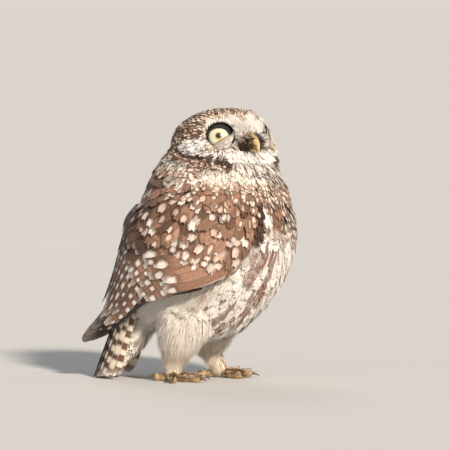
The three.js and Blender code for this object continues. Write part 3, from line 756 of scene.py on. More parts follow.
def vane_markings() -> bpy.types.ShaderNodeTree:
    """The group that draws one feather: its ground, spots, streak, shaft, barbs and fringe.

    Returns:
        A node group with a colour, a roughness and a height.
    """
    n, _, output = new_group("Vane markings", {}, {
        "Color": "NodeSocketColor", "Roughness": "NodeSocketFloat", "Height": "NodeSocketFloat"})
    u, v, _ = n.parts(n.add("ShaderNodeUVMap", uv_map="vane"))
    ground, fringe = n.attribute("ground")
    mark, seed = n.attribute("mark")
    blade, both = n.attribute("blade")
    spot, spot_high = n.attribute("spot")
    streak, strength = n.attribute("streak")
    half, length, pitch = n.parts(blade)
    spot_x, spot_y, spot_half = n.parts(spot)
    streak_half, streak_start, streak_end = n.parts(streak)
    x = n.times(n.fma(u, 2.0, -1.0), half)
    aside = n.math("ABSOLUTE", x)
    y = n.times(v, length)
    cell = n.add("ShaderNodeCombineXYZ", in_0=x, in_1=y, in_2=n.times(seed, 60.0))
    rough, fine = n.noise(cell, 0.55, 2.0), n.noise(cell, 2.4, 2.0)
    wobble = n.plus(n.fma(rough, 1.0, -0.5), n.fma(fine, 0.7, -0.35))
    across = n.add("ShaderNodeMix", in_0=both, in_2=x, in_3=aside)
    off_x = n.math("DIVIDE", n.minus(across, spot_x), spot_half)
    straight = n.minus(y, spot_y)
    wrapped = n.math("WRAP", straight, n.times(pitch, 0.5), n.times(pitch, -0.5))
    repeated = n.math("GREATER_THAN", pitch, 0.01)
    off_y = n.math("DIVIDE", n.add("ShaderNodeMix", in_0=repeated, in_2=straight, in_3=wrapped), spot_high)
    square = n.plus(n.times(off_x, off_x), n.times(off_y, off_y))
    boxed = n.math("MAXIMUM", n.math("ABSOLUTE", off_x), n.math("ABSOLUTE", off_y))
    reach = n.add("ShaderNodeMix", in_0=n.times(repeated, 0.7), in_2=n.math("SQRT", square), in_3=boxed)
    reach = n.plus(reach, n.times(wobble, n.fma(repeated, -0.5, 1.0)))
    window = n.times(n.step(v, n.minus(streak_start, 0.04), streak_start),
                    n.step(v, streak_end, n.minus(streak_end, 0.03)))
    spotted = n.times(n.step(reach, 1.45, 0.55), window)
    ringed = n.times(n.step(reach, 2.6, 1.1), n.minus(1.0, spotted))
    inked = n.times(n.step(n.plus(aside, wobble), n.times(streak_half, 1.25),
                                      n.times(streak_half, 0.75)),
                   n.times(n.step(v, streak_start, n.plus(streak_start, 0.12)),
                          n.step(v, streak_end, n.minus(streak_end, 0.1))))
    barb = n.plus(n.minus(y, n.times(aside, 1.1)), n.times(rough, 0.6))
    lines = n.fma(n.math("SINE", n.times(barb, 15.0)), 0.5, 0.5)
    tint = n.fma(rough, 0.7, n.fma(lines, 0.16, 0.56))
    base = n.shaded(ground, tint)
    base = n.blend(n.times(ringed, n.times(n.math("GREATER_THAN", spot_high, 0.05), 0.5)),
                   base, (0.02, 0.013, 0.009, 1))
    edge = n.math("MAXIMUM", n.step(n.math("DIVIDE", aside, half), 0.72, 1.0), n.step(v, 0.86, 1.0))
    base = n.blend(n.times(edge, fringe), base, (0.72, 0.66, 0.58, 1))
    marked = n.math("MAXIMUM", n.times(spotted, n.math("GREATER_THAN", spot_high, 0.05)),
                    n.times(inked, strength))
    pale = n.fma(fine, 0.3, n.fma(lines, 0.1, 0.8))
    mark = n.shaded(mark, pale)
    base = n.blend(marked, base, mark)
    shaft = n.times(n.step(aside, 0.22, 0.1), n.step(half, 1.5, 3.0))
    base = n.blend(n.times(shaft, 0.45), base, (0.05, 0.03, 0.02, 1))
    # Painted shade at the feather's root, where it lies under its neighbours, over the grey of its own down
    down = n.times(n.step(v, 0.35, 0.0), 0.35)
    base = n.blend(down, base, (0.10, 0.085, 0.075, 1))
    n.join(output.inputs["Color"], base)
    n.join(output.inputs["Roughness"], n.fma(lines, -0.1, 0.78))
    n.join(output.inputs["Height"], n.plus(lines, n.times(shaft, 1.5)))
    return n.tree


@dataclass(frozen=True)
class Plumage:
    """The finish of every feather, which reads each feather's own colours and marks from its mesh."""

    sheen: float = 0.12
    relief: float = 0.35

    def material(self) -> Material:
        """The feather material."""
        material, n, shader = new_material("feather_vanes", {
            "Sheen Weight": self.sheen, "Sheen Roughness": 0.4, "Specular IOR Level": 0.3})
        group = material.node_tree.nodes.new("ShaderNodeGroup")
        group.node_tree = vane_markings()
        n.join(shader.inputs["Base Color"], group.outputs["Color"])
        n.join(shader.inputs["Roughness"], group.outputs["Roughness"])
        n.relief(shader, group.outputs["Height"], self.relief, 0.06)
        return material


@dataclass(frozen=True)
class Down:
    """The skin under the feathers: the coat's own colours, broken up as matted down."""

    grain: float = 900.0

    def material(self) -> Material:
        """The skin's material."""
        material, n, shader = new_material("down_skin", {"Roughness": 0.9})
        fluff = n.noise(n.place(), self.grain, 4.0)
        ground, _ = n.attribute("ground")
        n.join(shader.inputs["Base Color"], n.shaded(ground, n.fma(fluff, 0.5, 0.5)))
        n.relief(shader, fluff, 0.5, 0.3)
        return material


@dataclass(frozen=True)
class Horn:
    """A horny finish, of the bill, the claws or the toes: two colours in a fine grain, with relief."""

    name: str
    main: Colour
    other: Colour
    grain: float
    roughness: float
    relief: float
    cells: bool = False
    coat: float = 0.0

    def material(self) -> Material:
        """The horn's material."""
        material, n, shader = new_material(self.name, {"Coat Weight": self.coat})
        where = n.place()
        cloud = n.noise(where, self.grain * 0.4, 5.0)
        relief = n.cells(where, self.grain) if self.cells else n.noise(where, self.grain, 6.0)
        share = n.step(n.plus(n.times(cloud, 0.7), n.times(relief, 0.3)), 0.3, 0.7)
        n.join(shader.inputs["Base Color"], n.blend(share, paint(self.other), paint(self.main)))
        n.join(shader.inputs["Roughness"], n.fma(cloud, 0.2, self.roughness - 0.1))
        n.relief(shader, relief, self.relief, 0.15)
        return material


@dataclass(frozen=True)
class Iris:
    """The eyeball's finish: a black pupil, a pale yellow iris with fine rays, and a dark rim."""

    inner: Colour = (220, 213, 160)
    outer: Colour = (246, 243, 210)

    def material(self) -> Material:
        """The eye's material, which reads the map laid round the eye's axis."""
        material, n, shader = new_material("iris", {
            "Roughness": 0.35, "Coat Weight": 1.0, "Coat Roughness": 0.02, "Coat IOR": 1.38})
        around, off, _ = n.parts(n.add("ShaderNodeUVMap", uv_map="iris"))
        ray = n.add("ShaderNodeCombineXYZ", in_0=n.times(around, 46.0), in_1=n.times(off, 2.2), in_2=0.0)
        rays = n.noise(ray, 2.0, 4.0)
        ring = n.blend(n.step(off, 0.2, 0.85), paint(self.inner), paint(self.outer))
        ring = n.shaded(ring, n.fma(rays, 0.55, 0.66))
        pupil = PUPIL_RADIUS / IRIS_RADIUS
        edge = n.plus(off, n.fma(rays, 0.03, -0.015))
        for share, colour in (
            (n.step(off, 0.42, pupil), (0.16, 0.15, 0.03, 1)),
            (n.step(edge, 0.93, 1.02), (0.012, 0.009, 0.007, 1)),
            (n.step(off, pupil + 0.02, pupil - 0.02), (0.004, 0.004, 0.004, 1)),
        ):
            ring = n.blend(share, ring, colour)
        n.join(shader.inputs["Base Color"], ring)
        return material


@dataclass(frozen=True)
class LidSkin:
    """The lids' finish: black above, pale below, with a thin tawny brim."""

    dark: Colour = (22, 18, 18)
    pale: Colour = (206, 196, 184)
    brim: Colour = (156, 96, 44)
    grain: float = 2600

    def material(self) -> Material:
        """The lids' material."""
        material, n, shader = new_material("eyelid_skin", {"Roughness": 0.5})
        relief = n.cells(n.place(), self.grain)
        painted, _ = n.attribute("lid")
        below, edge, _ = n.parts(painted)
        colour = n.blend(below, paint(self.dark), paint(self.pale))
        colour = n.blend(edge, colour, paint(self.brim))
        n.join(shader.inputs["Base Color"], n.shaded(colour, n.fma(relief, 0.4, 0.6)))
        n.relief(shader, relief, 0.5, 0.15)
        return material


BILL = Horn("bill_horn", (228, 198, 142), (184, 152, 108), 900, 0.38, 0.15, coat=0.25)
TOE = Horn("toe_skin", (208, 180, 130), (156, 126, 88), 1300, 0.5, 0.7, cells=True)
CLAW = Horn("claw_horn", (70, 60, 52), (124, 106, 86), 500, 0.3, 0.1, coat=0.3)


class Form(Enum):
    """How a feather is cut."""

    CLOSED = "a closed vane"
    FIRM = "a broad, firm vane with a shaft"
    LOOSE = "an open, downy vane"
    HAIR = "a spray of fine barbs"


@dataclass(frozen=True)
class Cut:
    """How one kind of feather is cut into barbs.

    Fields are the barbs on each web, the shares of a barb's length where it is jointed, how far a barb runs
    forward for each millimetre outwards, how blunt the tip is, the width at the root, how ragged and how
    ruffled the barbs are, how far the webs droop, and the height of the shaft or 0 for none.
    """

    barbs: int
    joints: tuple[float, ...]
    forward: float
    blunt: float
    root: float
    ragged: float
    ruffle: float
    droop: float
    shaft: float = 0.0


CUTS = {
    Form.CLOSED: Cut(10, (0, 0.8), 0.95, 3.4, 0.45, 0.16, 0.06, 0.16),
    Form.FIRM: Cut(16, (0, 0.5, 0.9), 0.95, 2.8, 0.5, 0.1, 0.05, 0.12, 0.06),
    Form.LOOSE: Cut(12, (0, 0.5), 1.3, 2.2, 0.4, 0.2, 0.03, 0.12),
}
COVERT_CUT = Cut(26, (0, 0.5, 0.95), 0.9, 3.2, 0.5, 0.06, 0.04, 0.14, 0.1)
FLIGHT_CUT = Cut(44, (0, 0.45, 0.93), 0.75, 9, 0.6, 0.04, 0.05, 0.1, 0.3)


@dataclass
class Feathers:
    """Many feathers laid out together, before they are cut into barbs.

    Fields are the points along each shaft, the way to its left and the way outwards at each, then for each
    feather its length and half width, its place and size on the flat map, and its colours and marks.
    """

    path: Array
    aside: Array
    out: Array
    length: Array
    half: Array
    spot_on_map: Array
    looks: dict[str, Array]
    patch: float = 0.003

    def __len__(self) -> int:
        """How many feathers there are."""
        return len(self.length)

    def chosen(self, which: Array) -> "Feathers":
        """Some of the feathers."""
        looks = {k: v[which] for k, v in self.looks.items()}
        return Feathers(self.path[which], self.aside[which], self.out[which], self.length[which],
                        self.half[which], self.spot_on_map[which], looks, self.patch)


def way_along(path: Array) -> Array:
    """The way along each feather's path, at its points."""
    return unit(np.gradient(path, axis=1))


def length_of(path: Array) -> Array:
    """The length of each feather's path."""
    return np.linalg.norm(np.diff(path, axis=1), axis=2).sum(axis=1)


def along(path: Array, share: Array) -> Array:
    """Values on each feather's path at shares of its length."""
    count, rows, _ = path.shape
    position = np.clip(share.reshape(count, -1), 0, 1) * (rows - 1)
    k = np.minimum(position.astype(int), rows - 2)
    t = (position - k)[..., None]
    i = np.arange(count)[:, None]
    return (path[i, k] * (1 - t) + path[i, k + 1] * t).reshape(*share.shape, 3)


class Coat:
    """A piece of the coat: feathers cut into barbs and gathered into one mesh."""

    def __init__(self, seed: int) -> None:
        """Starts an empty piece with its own random draw."""
        self.draw = np.random.default_rng(seed)
        self.points: list[Array] = []
        self.faces: list[Array] = []
        self.vane: list[Array] = []
        self.on_map: list[Array] = []
        self.looks: dict[str, list[Array]] = {}
        self.count = 0

    def lay(self, feathers: Feathers, share: Array, aside: Array, rise: Array, faces: Array) -> None:
        """Points given along and across each feather, with the same faces for every feather.

        Args:
            feathers: The feathers.
            share: Where each point is along its feather, one row a feather.
            aside, rise: Its distance from the shaft, and its height over the vane, in millimetres.
            faces: Corners of the triangles of one feather.
        """
        count, each = share.shape
        points = (along(feathers.path, share) + along(feathers.aside, share) * aside[..., None]
                  + along(feathers.out, share) * rise[..., None])
        points[..., 2] = np.maximum(points[..., 2], 0.1)
        u = 0.5 + 0.5 * aside / feathers.half[:, None]
        vane = np.stack([np.clip(u, 0, 1), share], axis=-1)
        self.points.append(points.reshape(-1, 3))
        start = self.count + np.arange(count)[:, None, None] * each
        self.faces.append((faces[None] + start).reshape(-1, 3))
        self.vane.append(vane.reshape(-1, 2))
        self.on_map.append((feathers.spot_on_map[:, None] + (vane - 0.5) * feathers.patch).reshape(-1, 2))
        for key, value in feathers.looks.items():
            self.looks.setdefault(key, []).append(np.repeat(value, each, axis=0))
        self.count += count * each

    def vanes(self, feathers: Feathers, cut: Cut) -> None:
        """Feathers with two webs of barbs, and a raised shaft where the cut has one.

        Args:
            feathers: The feathers.
            cut: How they are cut.
        """
        count, barbs = len(feathers), cut.barbs
        if not count:
            return
        half = feathers.half[:, None, None, None]
        ratio = (feathers.half / feathers.length)[:, None, None]
        tips = 0.07 + 0.93 * (np.arange(barbs) / (barbs - 1)) ** 0.88
        rise = np.clip(cut.root + (1 - cut.root) * tips / 0.3, 0, 1)
        breadth = rise * np.sqrt(np.clip(1 - tips**cut.blunt, 0, 1))
        breadth = breadth * (1 - cut.ragged * self.draw.random((count, 2, barbs)))
        tip = np.clip(tips + (self.draw.random((count, 2, barbs)) - 0.5) * 0.6 * cut.ragged / barbs, 0, 1)
        root = np.clip(tip - cut.forward * breadth * ratio, 0.0, 1)
        root = np.maximum.accumulate(root, axis=2) + np.arange(barbs) * 1e-3
        joints = np.array(cut.joints)

        def edge(gaps: float) -> Array:
            """One edge of each barb at its joints, by gaps between barbs towards the tip."""
            ends = [middle + np.diff(middle, axis=2, prepend=2 * middle[..., :1] - middle[..., 1:2]) * gaps
                    for middle in (root, tip)]
            return ends[0][..., None] + (ends[1] - ends[0])[..., None] * joints**1.1

        share = np.stack([edge(-0.75), edge(0.55)], axis=-1).reshape(count, 2, barbs, -1)
        share = np.concatenate([share, tip[..., None]], axis=-1)
        reach = np.append(np.repeat(joints, 2), 1.0)
        relative = breadth[..., None] * reach
        aside = np.array([1.0, -1.0])[None, :, None, None] * relative * half
        ruffle = np.append(np.tile([-0.5, 0.5], len(joints)), 0) * cut.ruffle
        up = ruffle - cut.droop * relative**2 * half
        up = up + (self.draw.random((count, 2, barbs, 1)) - 0.5) * cut.ruffle * reach
        last = 2 * len(joints) - 2
        corners = [(k, k + a, k + b) for k in range(0, last, 2) for a, b in ((2, 3), (3, 1))]
        one = np.array([*corners, (last, last + 2, last + 1)])
        each = last + 3
        web = (one[None] + (np.arange(barbs) * each)[:, None, None]).reshape(-1, 3)
        faces = np.concatenate([web, web[:, ::-1] + barbs * each])
        flat = (count, 2 * barbs * each)
        self.lay(feathers, share.reshape(flat), aside.reshape(flat), up.reshape(flat), faces)
        if cut.shaft:
            self.shafts(feathers, cut.shaft)

    def shafts(self, feathers: Feathers, high: float, rows: int = 7) -> None:
        """A thin raised shaft down the middle of each feather, in three long faces."""
        share = np.repeat(np.linspace(0, 0.97, rows), 3)
        taper = np.repeat(np.linspace(1, 0.3, rows), 3)
        aside = np.tile([-1.0, 0, 1], rows) * taper * high * 0.8
        rise = np.tile([0, 1.0, 0], rows) * taper * high
        faces = []
        for k in range(0, 3 * rows - 3, 3):
            for a in (k, k + 1):
                faces += [(a, a + 1, a + 4), (a, a + 4, a + 3)]
        ones = np.ones((len(feathers), 1))
        self.lay(feathers, ones * share, ones * aside, ones * rise, np.array(faces))

    def sprays(self, feathers: Feathers, blades: int, width: float, puff: float) -> None:
        """Feathers with no closed vane: a spray of fine tapering barbs from the root.

        Args:
            feathers: The feathers.
            blades: Barbs in each.
            width: A barb's width at its root in millimetres.
            puff: How far barbs stand out, as a share of the length.
        """
        count = len(feathers)
        if not count:
            return
        shape = (count, blades)
        end = self.draw.uniform(-1, 1, shape) * feathers.half[:, None]
        reach = self.draw.uniform(0.6, 1, shape)
        high = self.draw.uniform(-0.3, 1, shape) * puff * feathers.length[:, None]
        start = end * 0.25
        steps = np.array([0, 0, 0.5, 0.5, 1.0])
        thin = np.array([-1, 1, -0.75, 0.75, 0]) * width / 2
        share = reach[..., None] * steps
        aside = start[..., None] + (end - start)[..., None] * steps**1.4 + thin
        rise = high[..., None] * steps**1.5
        one = np.array([(0, 1, 3), (0, 3, 2), (2, 3, 4)])
        faces = (one[None] + (np.arange(blades) * 5)[:, None, None]).reshape(-1, 3)
        flat = (count, blades * 5)
        self.lay(feathers, share.reshape(flat), aside.reshape(flat), rise.reshape(flat), faces)

    def piece(self, name: str, material: Material) -> Piece:
        """The gathered mesh as one object.

        Args:
            name: The piece's name.
            material: Its finish.

        Returns:
            The object, riding on the owl.
        """
        points, faces = np.concatenate(self.points) * MM, np.concatenate(self.faces)
        mesh = bpy.data.meshes.new(name)
        mesh.vertices.add(len(points))
        mesh.vertices.foreach_set("co", points.astype(np.float32).ravel())
        mesh.loops.add(faces.size)
        mesh.loops.foreach_set("vertex_index", faces.astype(np.int32).ravel())
        mesh.polygons.add(len(faces))
        mesh.polygons.foreach_set("loop_start", np.arange(0, faces.size, 3, dtype=np.int32))
        mesh.polygons.foreach_set("use_smooth", np.ones(len(faces), bool))
        for label, values in (("vane", self.vane), ("OFBake", self.on_map)):
            lay_map(mesh, label, np.concatenate(values)[faces.ravel()])
        for key, values in self.looks.items():
            store(mesh, key, np.concatenate(values))
        mesh.update(calc_edges=True)
        made = bpy.data.objects.new(name, mesh)
        bpy.context.scene.collection.objects.link(made)
        finish(made, material, "plumage")
        LOG.info("%s: %d triangles", name, len(faces))
        return made


UMBER, DARK = (150, 114, 92), (80, 58, 46)
WHITE, CREAM = (232, 225, 215), (234, 219, 197)


def band(value: Array, start: float, full: float, fade: float, end: float) -> Array:
    """A soft band: it rises from start to full and falls from fade to end."""
    return soft(value, start, full) * soft(value, end, fade)


@dataclass(frozen=True)
class Tract:
    """A part of the coat whose feathers are alike.

    Fields are where it lies, how its feathers are cut, their length, half width, spacing and the height of
    their tips over the skin in millimetres, their ground and mark colours, the share of them that are
    marked, a spot's place aside and share along with its half width and height, whether both webs have it,
    a streak's half width with its start and end, how much a pale fringe shows, and how much their tone
    varies.
    """

    name: str
    where: Callable[[Spots], Array]
    form: Form
    length: float
    half: float
    spacing: float
    rise: float
    ground: Colour
    mark: Colour = WHITE
    chance: float = 0.0
    spot: tuple[float, float, float, float] = (0, 0.7, 0, 0)
    both: float = 0.0
    streak: tuple[float, float, float] = (0, 0, 1)
    fringe: float = 0.0
    vary: float = 0.14

    def numbers(self) -> Array:
        """All that can be mixed with a neighbour's, in one row."""
        return np.array([self.length, self.half, self.spacing, self.rise, *linear(*self.ground),
                         *linear(*self.mark), self.chance, *self.spot, self.both, *self.streak,
                         self.fringe, self.vary])


# Later tracts lie over earlier ones
TRACTS = (
    Tract("mantle", lambda p: np.ones(len(p.points)), Form.FIRM, 14, 4.8, 4.2, 2.8, (118, 89, 71), CREAM,
          0.55, (1.2, 0.7, 1.5, 2.5), fringe=0.2, vary=0.22),
    # The lower back is darker than the mantle: partly its own darker brown, partly painted shade on the back
    Tract("lower back", lambda p: band(p.station, 2.2, 2.7, 4.0, 4.6) * soft(p.angle, 105, 125), Form.FIRM,
          16, 5.4, 4.4, 2.8, (104, 77, 62), CREAM, 0.35, (1.4, 0.7, 1.5, 2.3), fringe=0.16, vary=0.22),
    Tract("rump", lambda p: soft(p.station, 2.7, 2.2) * soft(p.angle, 80, 110), Form.LOOSE, 15, 5, 3.4, 2.6,
          (112, 88, 72), WHITE, 0.6, (1.9, 0.7, 1.6, 2.2), 1.0, fringe=0.2),
    Tract("coverts", lambda p: band(p.wing_share, 0.0, 0.05, 0.97, 1.03)
          * band(p.station, 2.3, 2.5, 5.1, 5.4), Form.FIRM, 14, 4.7, 3.9, 3.9, UMBER, WHITE, 0.66,
          (0.8, 0.8, 2.0, 2.9), fringe=0.3, vary=0.22),
    Tract("lesser coverts", lambda p: band(p.wing_share, 0.0, 0.05, 0.97, 1.03)
          * band(p.station, 4.9, 5.2, 6.2, 6.4), Form.FIRM, 11, 3.7, 3.4, 2.8, (156, 120, 97), WHITE, 0.62,
          (0.4, 0.72, 1.25, 2.3), fringe=0.3, vary=0.24),
    # A darker band just under the scapulars' lower edge: painted shadow of the scapulars on the coverts
    Tract("under the scapulars", lambda p: band(p.over_scapulars, -0.06, -0.03, 0.0, 0.02)
          * band(p.station, 3.7, 4.0, 5.8, 6.0), Form.FIRM, 11, 4.0, 3.4, 2.2, (96, 70, 56), CREAM, 0.3,
          (0.5, 0.74, 1.2, 1.8), fringe=0.1, vary=0.2),
    Tract("scapulars", lambda p: soft(p.over_scapulars, 0.0, 0.05) * soft(p.wing_share, 1.06, 1.0)
          * band(p.station, 3.4, 3.7, 5.7, 5.9), Form.FIRM, 14.5, 4.9, 4.2, 4.4, (138, 104, 84), WHITE, 0.6,
          (0.8, 0.78, 2.2, 3.3), fringe=0.25, vary=0.22),
    Tract("upper scapulars", lambda p: soft(p.over_scapulars, 0.0, 0.05) * soft(p.wing_share, 1.04, 0.98)
          * band(p.station, 5.3, 5.6, 6.2, 6.4), Form.FIRM, 10, 3.4, 3.1, 3.2, (156, 120, 97), WHITE, 0.62,
          (0.4, 0.72, 1.15, 2.0), fringe=0.3, vary=0.24),
    Tract("shaded scapulars", lambda p: soft(p.wing_share, 0.62, 0.82) * band(p.station, 2.6, 3.0, 4.4, 5.4)
          * soft(p.wing_share, 1.1, 1.02), Form.FIRM, 14.5, 4.9, 4.2, 4.2, (86, 63, 51), CREAM, 0.5,
          (0.8, 0.76, 1.3, 2.4), fringe=0.16, vary=0.22),
    Tract("upper breast", lambda p: soft(p.wing_share, 0.02, -0.04) * soft(p.angle, 62, 50)
          * soft(p.station, 4.9, 5.35), Form.CLOSED, 12, 4.6, 3.6, 2.8, (138, 108, 88), WHITE, 0.8,
          (2.3, 0.6, 1.3, 2.4), 1.0, fringe=0.75, vary=0.2),
    Tract("belly", lambda p: soft(p.angle, 80, 62) * soft(p.station, 5.35, 4.9) * p.off_wing, Form.LOOSE, 15,
          3.3, 2.7, 2.7, WHITE, (138, 102, 82), 0.4, streak=(1.45, 0.05, 1.15), fringe=0.3, vary=0.08),
    Tract("flank", lambda p: band(p.angle, 40, 54, 90, 100) * soft(p.station, 4.9, 4.3) * p.off_wing,
          Form.HAIR, 15, 2.2, 1.6, 2.6, (234, 226, 212), (176, 142, 118), 0.24, streak=(2.4, 0.2, 1.1),
          vary=0.08),
    Tract("vent", lambda p: soft(p.station, 2.9, 2.4) * soft(p.angle, 122, 105), Form.HAIR, 15, 2.2, 1.7,
          2.6, WHITE, (140, 112, 92), 0.1, streak=(2.4, 0.4, 0.8), vary=0.06),
    Tract("under the tail", lambda p: p.tail, Form.CLOSED, 15, 4.0, 3.2, 1.2, (242, 234, 222),
          (150, 114, 92), 0.3, (0.6, 0.72, 1.9, 1.5), fringe=0.5, vary=0.1),
    Tract("wing's edge", lambda p: band(p.wing_share, -0.045, -0.03, -0.003, 0.012)
          * band(p.station, 4.85, 5.0, 5.95, 6.1), Form.CLOSED, 8, 1.8, 1.5, 3.6, WHITE, DARK, 0.12,
          streak=(0.5, 0.3, 0.8), vary=0.05),
    Tract("behind the wing's edge", lambda p: band(p.wing_share, 0.0, 0.015, 0.08, 0.12)
          * band(p.station, 4.7, 4.9, 5.9, 6.1), Form.CLOSED, 8.5, 2.8, 2.2, 3.0, (76, 55, 44), CREAM, 0.25,
          (0.5, 0.7, 0.8, 1.2), vary=0.2),
    Tract("nape", lambda p: soft(p.station, 5.8, 6.2) * soft(p.angle, 85, 105), Form.CLOSED, 10, 3.3, 2.6,
          2.4, (134, 102, 82), CREAM, 0.9, (0.5, 0.62, 1.7, 3.0), fringe=0.4, vary=0.22),
    Tract("cream patch", lambda p: band(p.angle, 106, 116, 152, 164) * band(p.station, 6.35, 6.5, 7.2, 7.45)
          + band(p.angle, 104, 110, 124, 130) * band(p.station, 5.6, 5.75, 5.9, 6.05), Form.LOOSE, 8.5, 2.8,
          2.0, 2.6, (244, 236, 222), (112, 86, 69), 0.3, streak=(0.6, 0.1, 0.8), vary=0.12),
    # The side of the neck is lighter: partly its own paler tone, partly painted light on the neck
    Tract("side of the neck", lambda p: soft(p.station, 6.05, 6.35) * soft(p.angle, 118, 108), Form.CLOSED,
          8.5, 2.7, 2.0, 2.4, (176, 150, 130), WHITE, 0.8, (0.6, 0.7, 1.0, 1.4), fringe=0.3, vary=0.25),
    Tract("cream band", lambda p: band(p.station - (70 - p.angle) * 0.008, 6.3, 6.42, 6.9, 7.05)
          * soft(p.angle, 98, 88), Form.LOOSE, 8, 2.8, 1.9, 2.6, (240, 229, 212), (150, 120, 98), 0.2,
          streak=(0.5, 0.2, 0.8), vary=0.08),
    Tract("arc over the scapulars",
          lambda p: band(p.station - (105 - p.angle) * 0.026, 5.86, 5.92, 6.04, 6.1)
          * band(p.angle, 84, 88, 106, 112), Form.CLOSED, 7, 1.8, 1.5, 3.6, (243, 234, 218), vary=0.05),
    Tract("throat", lambda p: soft(p.station, 6.6, 6.8) * soft(p.angle, 60, 48), Form.LOOSE, 8, 2.4, 1.9,
          2.6, (236, 228, 216), (104, 79, 62), 0.6, streak=(0.75, 0.1, 0.9), vary=0.12),
    Tract("back of the head", lambda p: p.head, Form.CLOSED, 7.5, 2.0, 1.75, 2.0, (92, 69, 55), CREAM, 0.85,
          (0.2, 0.6, 0.6, 1.6), fringe=0.08, vary=0.2),
    Tract("crown", lambda p: p.head * soft(p.over_brow, -1, 2), Form.CLOSED, 6.5, 1.5, 1.4, 1.6,
          (88, 64, 50), (250, 232, 204), 0.92, (0.1, 0.6, 0.5, 1.9), vary=0.2),
    Tract("behind the eye", lambda p: p.head * band(p.side_turn, 60, 66, 106, 116) * soft(p.over_rim, 2, 5)
          * soft(p.lift + (p.side_turn - 60) * 0.28, 1, 7) * soft(p.lift, 27, 22), Form.CLOSED, 6.0, 1.4,
          1.3, 1.5, (98, 74, 59), (240, 226, 204), 0.66, streak=(0.55, 0.1, 0.9), vary=0.25),
    Tract("cheek", lambda p: p.head * band(p.side_turn, 52, 57, 90, 100) * soft(p.lift, 7, 4)
          * soft(p.over_rim, 0, 2.5), Form.CLOSED, 6.5, 1.1, 1.2, 1.6, (244, 239, 232), (128, 98, 80), 0.5,
          streak=(0.42, 0.1, 0.95), vary=0.1),
    Tract("face", lambda p: p.head * soft(p.side_turn, 60, 54) * soft(p.over_rim, 0, 2.5)
          * soft(p.over_brow, 2, -1), Form.HAIR, 4.8, 0.9, 0.75, 1.2, (236, 230, 222), vary=0.05),
    Tract("line under the eye", lambda p: p.head * band(p.side_turn, 14, 19, 57, 62)
          * soft(np.abs(p.lift - np.interp(p.side_turn, LINE_TURNS, LINE_LIFTS)), 3.8, 2.4), Form.CLOSED,
          3.6, 0.95, 1.0, 1.9, (206, 186, 162), (70, 50, 40), 0.75, (0, 0.66, 0.75, 1.0), vary=0.2),
    Tract("round the eye", lambda p: p.head * soft(p.to_eye, 12.4, 11.4) * soft(p.lift, -3, 1)
          * soft(p.side_turn, 12, 17), Form.HAIR, 2.6, 0.8, 0.7, 0.8, (40, 32, 30), vary=0.3),
    Tract("before the eye", lambda p: p.head * band(p.side_turn, 16, 19, 30, 34) * soft(p.to_eye, 14.2, 13)
          * band(p.lift, -8, -4, 15, 20), Form.HAIR, 3.4, 0.8, 0.7, 1.2, (46, 37, 34), vary=0.3),
    Tract("lores", lambda p: p.head * soft(p.side_turn, 21, 16) * band(p.lift, -21, -17, -6, 0), Form.HAIR,
          6.0, 0.9, 0.95, 1.2, (92, 72, 56), vary=0.35),
    Tract("under the rim", lambda p: soft(p.head, 0.1, 0.5) * band(p.side_turn, 26, 34, 92, 100)
          * band(p.over_rim, -10, -7, -1, 1), Form.CLOSED, 6, 1.6, 1.35, 2.0, (122, 95, 78), (228, 208, 186),
          0.62, (0.1, 0.74, 0.7, 1.2), fringe=0.25, vary=0.26),
    Tract("rim of the disc", lambda p: p.head * band(p.side_turn, 26, 36, 94, 104)
          * band(p.over_rim, -2.6, -1.5, 0.7, 1.7), Form.CLOSED, 4.6, 1.0, 1.0, 1.9, (62, 46, 38),
          (190, 164, 140), 0.2, (0, 0.8, 0.4, 0.5), vary=0.25),
    Tract("chin", lambda p: p.head * soft(p.side_turn, 56, 48) * soft(p.lift, -15.5, -17.5)
          * soft(p.over_rim, 1, 3), Form.LOOSE, 7, 2.0, 1.5, 3.2, (238, 232, 224), vary=0.05),
    Tract("streaked throat", lambda p: p.head * soft(p.side_turn, 36, 28) * soft(p.lift, -29, -32),
          Form.LOOSE, 7, 1.7, 1.5, 2.6, (238, 231, 221), (88, 65, 52), 0.5, streak=(0.5, 0.1, 0.95),
          vary=0.1),
    Tract("thigh", lambda p: soft(p.leg, 19, 15) * soft(p.points[:, 2], 44, 34), Form.HAIR, 15, 2.8, 1.9,
          3.2, (238, 230, 216), vary=0.08),
    Tract("shank", lambda p: soft(p.leg, 12, 9) * soft(p.points[:, 2], 20, 14), Form.HAIR, 7.5, 1.6, 1.25,
          2.0, (234, 220, 198), vary=0.12),
)
LENGTH, HALF, SPACING, RISE, GROUND, MARK, CHANCE, SPOT, BOTH, STREAK, FRINGE, VARY = (
    0, 1, 2, 3, slice(4, 7), slice(7, 10), 10, slice(11, 15), 15, slice(16, 19), 19, 20)


def coat_at(at: Spots) -> tuple[Array, Array]:
    """The coat's numbers at places on the skin, each tract faded into its neighbours.

    Args:
        at: The places.

    Returns:
        A row of mixed numbers for each place, and the tract that rules there.
    """
    mixed = np.tile(TRACTS[0].numbers(), (len(at.points), 1))
    ruling = np.zeros(len(at.points), int)
    for i, tract in enumerate(TRACTS[1:], start=1):
        weight = tract.where(at)
        mixed += (tract.numbers() - mixed) * weight[:, None]
        ruling = np.where(weight > 0.5, i, ruling)
    return mixed, ruling


def coat_depth(at: Spots) -> Array:
    """How far the skin lies inside the solids: the thickness of the coat there."""
    wing = band(at.wing_share, 0.0, 0.08, 0.95, 1.03) * band(at.station, 3.0, 3.4, 6.1, 6.4)
    face = at.head * soft(at.side_turn, 75, 60) * soft(at.lift, 34, 26)
    leg = soft(at.leg, 19, 15) * soft(at.points[:, 2], 40, 30)
    depth = BODY_COAT - WING_THINNER * wing
    depth = depth + (HEAD_COAT - depth) * at.head
    depth = depth + (FACE_COAT - depth) * face
    depth = depth * (1 - at.head * soft(at.to_eye, 13.5, 10.5))
    return depth + (LEG_COAT - depth) * leg


